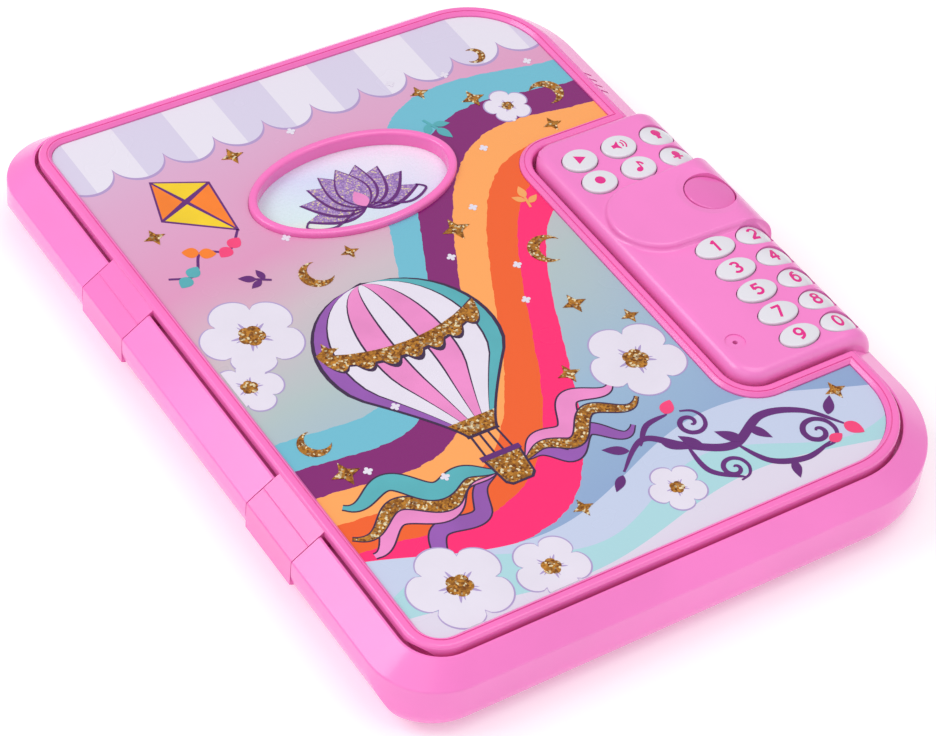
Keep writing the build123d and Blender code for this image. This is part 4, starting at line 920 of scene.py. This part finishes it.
# turns, length and width of the petals, from the outermost pair to the middle one
LILY_PETALS = (
    ((-84, 84), 19.5, 7.0),
    ((-62, 62), 20.0, 8.5),
    ((-40, 40), 19.0, 9.0),
    ((-20, 20), 19.0, 9.0),
    ((0,), 18.5, 9.5),
)
TENDRIL = ((2, 1), (13, -4), (21, -1), (19, 2))
for layer, (turns, length, width) in enumerate(LILY_PETALS, 1):
    edges = [placed(petal(length + 0.9, width + 1.5), LILY_X, LILY_Y - 0.5, turn) for turn in turns]
    fills = [placed(petal(length, width), LILY_X, LILY_Y, turn) for turn in turns]
    picture_piece(f"lily_edge_{layer}", edges, 2 * layer - 1, PURPLE_INK)
    picture_piece(f"lily_petals_{layer}", fills, 2 * layer, LILAC_GLITTER)
lily_top = 2 * len(LILY_PETALS) + 1
tendrils = [
    stroke([(LILY_X + side * x, LILY_Y + y) for x, y in TENDRIL], 0.8, 0.3) for side in (-1, 1)
]
picture_piece("lily_tendrils", tendrils, lily_top, PURPLE_INK)
picture_piece("lily_heart", [placed(petal(7.5, 5.0), LILY_X, LILY_Y)], lily_top, PINK_INK)

# ---- Digits and signs on the keys ------------------------------------------------------------

KEY_INK = ink("key_ink", colour(233, 26, 140), 0.03, 0.26)
SIGN_PROUD = 0.03 * MM
SIGN_SUNK = 0.04 * MM
SIGN_LAYER = 0.004 * MM  # each stroke of a sign lies this much above the one before
SIGN_STEP = 0.45
SIGN_LINE = 0.92
ABOVE_ALL = 1.0  # a height in metres from which rays fall on the keys


def arc(x, y, half_x, half_y, start, stop):
    """Points along part of an ellipse."""
    count = max(3, int(abs(radians(stop - start)) * max(half_x, half_y) / SIGN_STEP))
    turns = [radians(start + (stop - start) * i / count) for i in range(count + 1)]
    return [(x + half_x * cos(a), y + half_y * sin(a)) for a in turns]


def line(*points):
    """A polyline with steps short enough to follow a key's crown."""
    made = [points[0]]
    for (x, y), (end_x, end_y) in zip(points, points[1:]):
        across, along = end_x - x, end_y - y
        count = max(1, int(sqrt(across**2 + along**2) / SIGN_STEP))
        made += [(x + across * i / count, y + along * i / count) for i in range(1, count + 1)]
    return made


def strip(points, width=SIGN_LINE):
    """A line of even width: its points, its faces, and its rim in order."""
    closed = abs(points[0][0] - points[-1][0]) + abs(points[0][1] - points[-1][1]) < 1e-6
    left, right = [], []
    for i, (x, y) in enumerate(points):
        before = points[i - 1] if i else (points[-2] if closed else points[0])
        after = points[i + 1] if i + 1 < len(points) else (points[1] if closed else points[-1])
        dx, dy = after[0] - before[0], after[1] - before[1]
        reach = width / 2 / sqrt(dx * dx + dy * dy)
        left.append((x - dy * reach, y + dx * reach))
        right.append((x + dy * reach, y - dx * reach))
    count = len(points)
    faces = [(i, i + 1, count + i + 1, count + i) for i in range(count - 1)]
    return left + right, faces, list(range(count)) + list(range(2 * count - 1, count - 1, -1))


def disc(loop):
    """A filled shape round its middle: its points, its faces, and its rim in order."""
    count = len(loop)
    x = sum(p[0] for p in loop) / count
    y = sum(p[1] for p in loop) / count
    ring = [((px + x) / 2, (py + y) / 2) for px, py in loop]
    faces = []
    for i in range(count):
        after = (i + 1) % count
        faces.append((1 + i, 1 + after, 0))
        faces.append((1 + count + i, 1 + count + after, 1 + after, 1 + i))
    return [(x, y), *ring, *loop], faces, list(range(1 + count, 1 + 2 * count))


def press_onto(key, patches, name):
    """Lays thin patches on a key's crown, and rides them on the key."""
    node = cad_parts[key]
    low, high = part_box(key)
    corners = [vertex.co for vertex in node.data.vertices]
    crown = BVHTree.FromPolygons(corners, [face.vertices for face in node.data.polygons])
    mesh = bmesh.new()
    for layer, (points, faces, rim) in enumerate(patches):
        top, under = [], []
        for px, py in points:
            x, y = (low[0] + high[0]) / 2 + px * MM, (low[1] + high[1]) / 2 + py * MM
            z = crown.ray_cast(Vector((x, y, ABOVE_ALL)), Vector((0, 0, -1)))[0].z
            top.append(mesh.verts.new((x, y, z + SIGN_PROUD + layer * SIGN_LAYER)))
            under.append(mesh.verts.new((x, y, z - SIGN_SUNK)))
        for face in faces:
            mesh.faces.new([top[i] for i in face])
            mesh.faces.new([under[i] for i in reversed(face)])
        for i, here in enumerate(rim):
            after = rim[(i + 1) % len(rim)]
            mesh.faces.new((top[here], top[after], under[after], under[here]))
    return finished(mesh, name, KEY_INK, key)


# digits as lines in millimetres from the middle of a key
SIX = (
    arc(0, -0.85, 1.25, 1.3, 0, 360),
    smooth([(-1.25, -0.85), (-1.0, 0.75), (-0.2, 1.7), (0.9, 2.05)], 4),
)
DIGITS = {
    "1": (line((-0.95, 1.15), (0.15, 2.0)), line((0.15, 2.45), (0.15, -2.45))),
    "2": (
        arc(0, 0.85, 1.25, 1.2, 170, -30) + line((0.9, -0.1), (-1.15, -2.0)),
        line((-1.45, -2.03), (1.5, -2.03)),
    ),
    "3": (arc(-0.15, 1.02, 1.15, 1.05, 150, -90), arc(-0.15, -0.98, 1.35, 1.1, 90, -150)),
    "4": (
        line((0.55, -2.45), (0.55, 2.45)),
        line((0.5, 2.1), (-1.35, -0.75)),
        line((-1.6, -0.95), (1.5, -0.95)),
    ),
    "5": (
        line((1.2, 2.03), (-1.2, 2.03)),
        line((-0.85, 2.0), (-1.0, 0.1)),
        arc(-0.05, -0.75, 1.35, 1.3, 140, -145),
    ),
    "6": SIX,
    "7": (line((-1.45, 2.03), (1.5, 2.03)), line((1.15, 1.9), (-0.5, -2.45))),
    "8": (arc(0, 1.1, 1.05, 0.95, 0, 360), arc(0, -0.95, 1.3, 1.1, 0, 360)),
    "9": tuple([(-x, -y) for x, y in points] for points in SIX),
    "0": (arc(0, 0, 1.3, 2.05, 0, 360),),
}
for digit, lines in DIGITS.items():
    patches = [strip(points) for points in lines]
    press_onto(f"number_button_{digit}", patches, f"sign_digit_{digit}")

SIGNS = {
    "play_button": [disc(line((-1.5, -2.0), (-1.5, 2.0), (2.0, 0.0), (-1.5, -2.0))[:-1])],
    "sound_button": [
        disc([(-2.6, -0.75), (-2.6, 0.75), (-1.5, 0.75), (0.0, 1.9), (0.0, -1.9), (-1.5, -0.75)]),
        strip(arc(0, 0, 1.2, 1.5, -48, 48), 0.5),
        strip(arc(0, 0, 2.3, 2.4, -48, 48), 0.5),
    ],
    "light_button": [
        disc(placed(oval(1.65, 1.65, 24), 0, 0.55)),
        strip(line((0, -1.0), (0, -2.2)), 1.6),
    ],
    "record_button": [disc(oval(1.7, 1.7, 28))],
    "music_button": [
        disc(placed(oval(1.2, 0.95, 20), -0.6, -1.4, 18)),
        strip(line((0.35, -1.3), (0.35, 2.2)), 0.55),
        strip(smooth([(0.35, 1.9), (1.3, 1.2), (1.6, 0.2)], 4), 0.8),
    ],
    "alarm_button": [
        disc(placed(oval(1.35, 1.5, 24), 0, 0.5)),
        strip(line((-1.9, -0.95), (1.9, -0.95)), 0.7),
        disc(placed(oval(0.55, 0.42, 12), 0, -1.75)),
    ],
}
for key, patches in SIGNS.items():
    press_onto(key, patches, "sign_" + key.removesuffix("_button"))


# ---- Floor, lights and camera ----------------------------------------------------------------

FLOOR_REACH = 4.0
FLOOR_DARK, FLOOR_LIGHT = 0.88, 0.92
FLOOR_GLOW = 0.2
WORLD_STRENGTH = 0.52
# name, place, diameter in metres and power in watts
LIGHTS = (
    ("key_light", (-0.9, 0.5, 1.1), 0.9, 7.5),
    ("fill_light", (-0.9, -0.5, 0.8), 1.2, 2.0),
    ("top_light", (0.3, -0.2, 1.5), 1.2, 6.5),
    ("front_light", (0.7, -1.1, 0.18), 1.2, 2.2),
)
LENS = 117.75
SENSOR = 36.0
CAMERA_PLACE = (-0.4034, -0.5326, 0.6468)
CAMERA_RIGHT = (0.84055, -0.53486, 0.08603)
CAMERA_UP = (0.32546, 0.62552, 0.70908)
CAMERA_BACK = (-0.43308, -0.56802, 0.69986)


def grey(level):
    return (level, level, level, 1.0)


def floor():
    """A wide pale floor that glows a little, so that it stays white."""
    data = bpy.data.meshes.new("floor")
    far = FLOOR_REACH
    corners = [(-far, -far, 0), (far, -far, 0), (far, far, 0), (-far, far, 0)]
    data.from_pydata(corners, [], [(0, 1, 2, 3)])
    ground = stand("floor", data)
    shader = Shader(
        "floor_paper", Roughness=0.6, Specular_IOR_Level=0.2, Emission_Strength=FLOOR_GLOW
    )
    shader.set("Emission Color", WHITE)
    shader.set("Base Color", shader.mix(shader.noise(2.0), grey(FLOOR_DARK), grey(FLOOR_LIGHT)))
    data.materials.append(shader.material)


def lights():
    """A white world and soft round lights, each aimed at the origin."""
    world = bpy.data.worlds.new("studio")
    bpy.context.scene.world = world
    world.use_nodes = True
    background = world.node_tree.nodes["Background"]
    background.inputs["Color"].default_value = WHITE
    background.inputs["Strength"].default_value = WORLD_STRENGTH
    for name, place, size, power in LIGHTS:
        data = bpy.data.lights.new(name, "AREA")
        data.shape = "DISK"
        data.size = size
        data.energy = power
        lamp = stand(name, data)
        lamp.location = place
        lamp.rotation_euler = (-Vector(place)).to_track_quat("-Z", "Y").to_euler()


def camera():
    """The camera of the main view, over the front left corner."""
    data = bpy.data.cameras.new("camera")
    data.lens = LENS
    data.sensor_width = SENSOR
    data.clip_start = 0.01
    made = stand("camera", data)
    turn = Matrix((CAMERA_RIGHT, CAMERA_UP, CAMERA_BACK)).transposed().to_4x4()
    made.matrix_world = Matrix.Translation(CAMERA_PLACE) @ turn
    bpy.context.scene.camera = made


floor()
lights()
camera()
bpy.context.scene.view_settings.view_transform = "Standard"
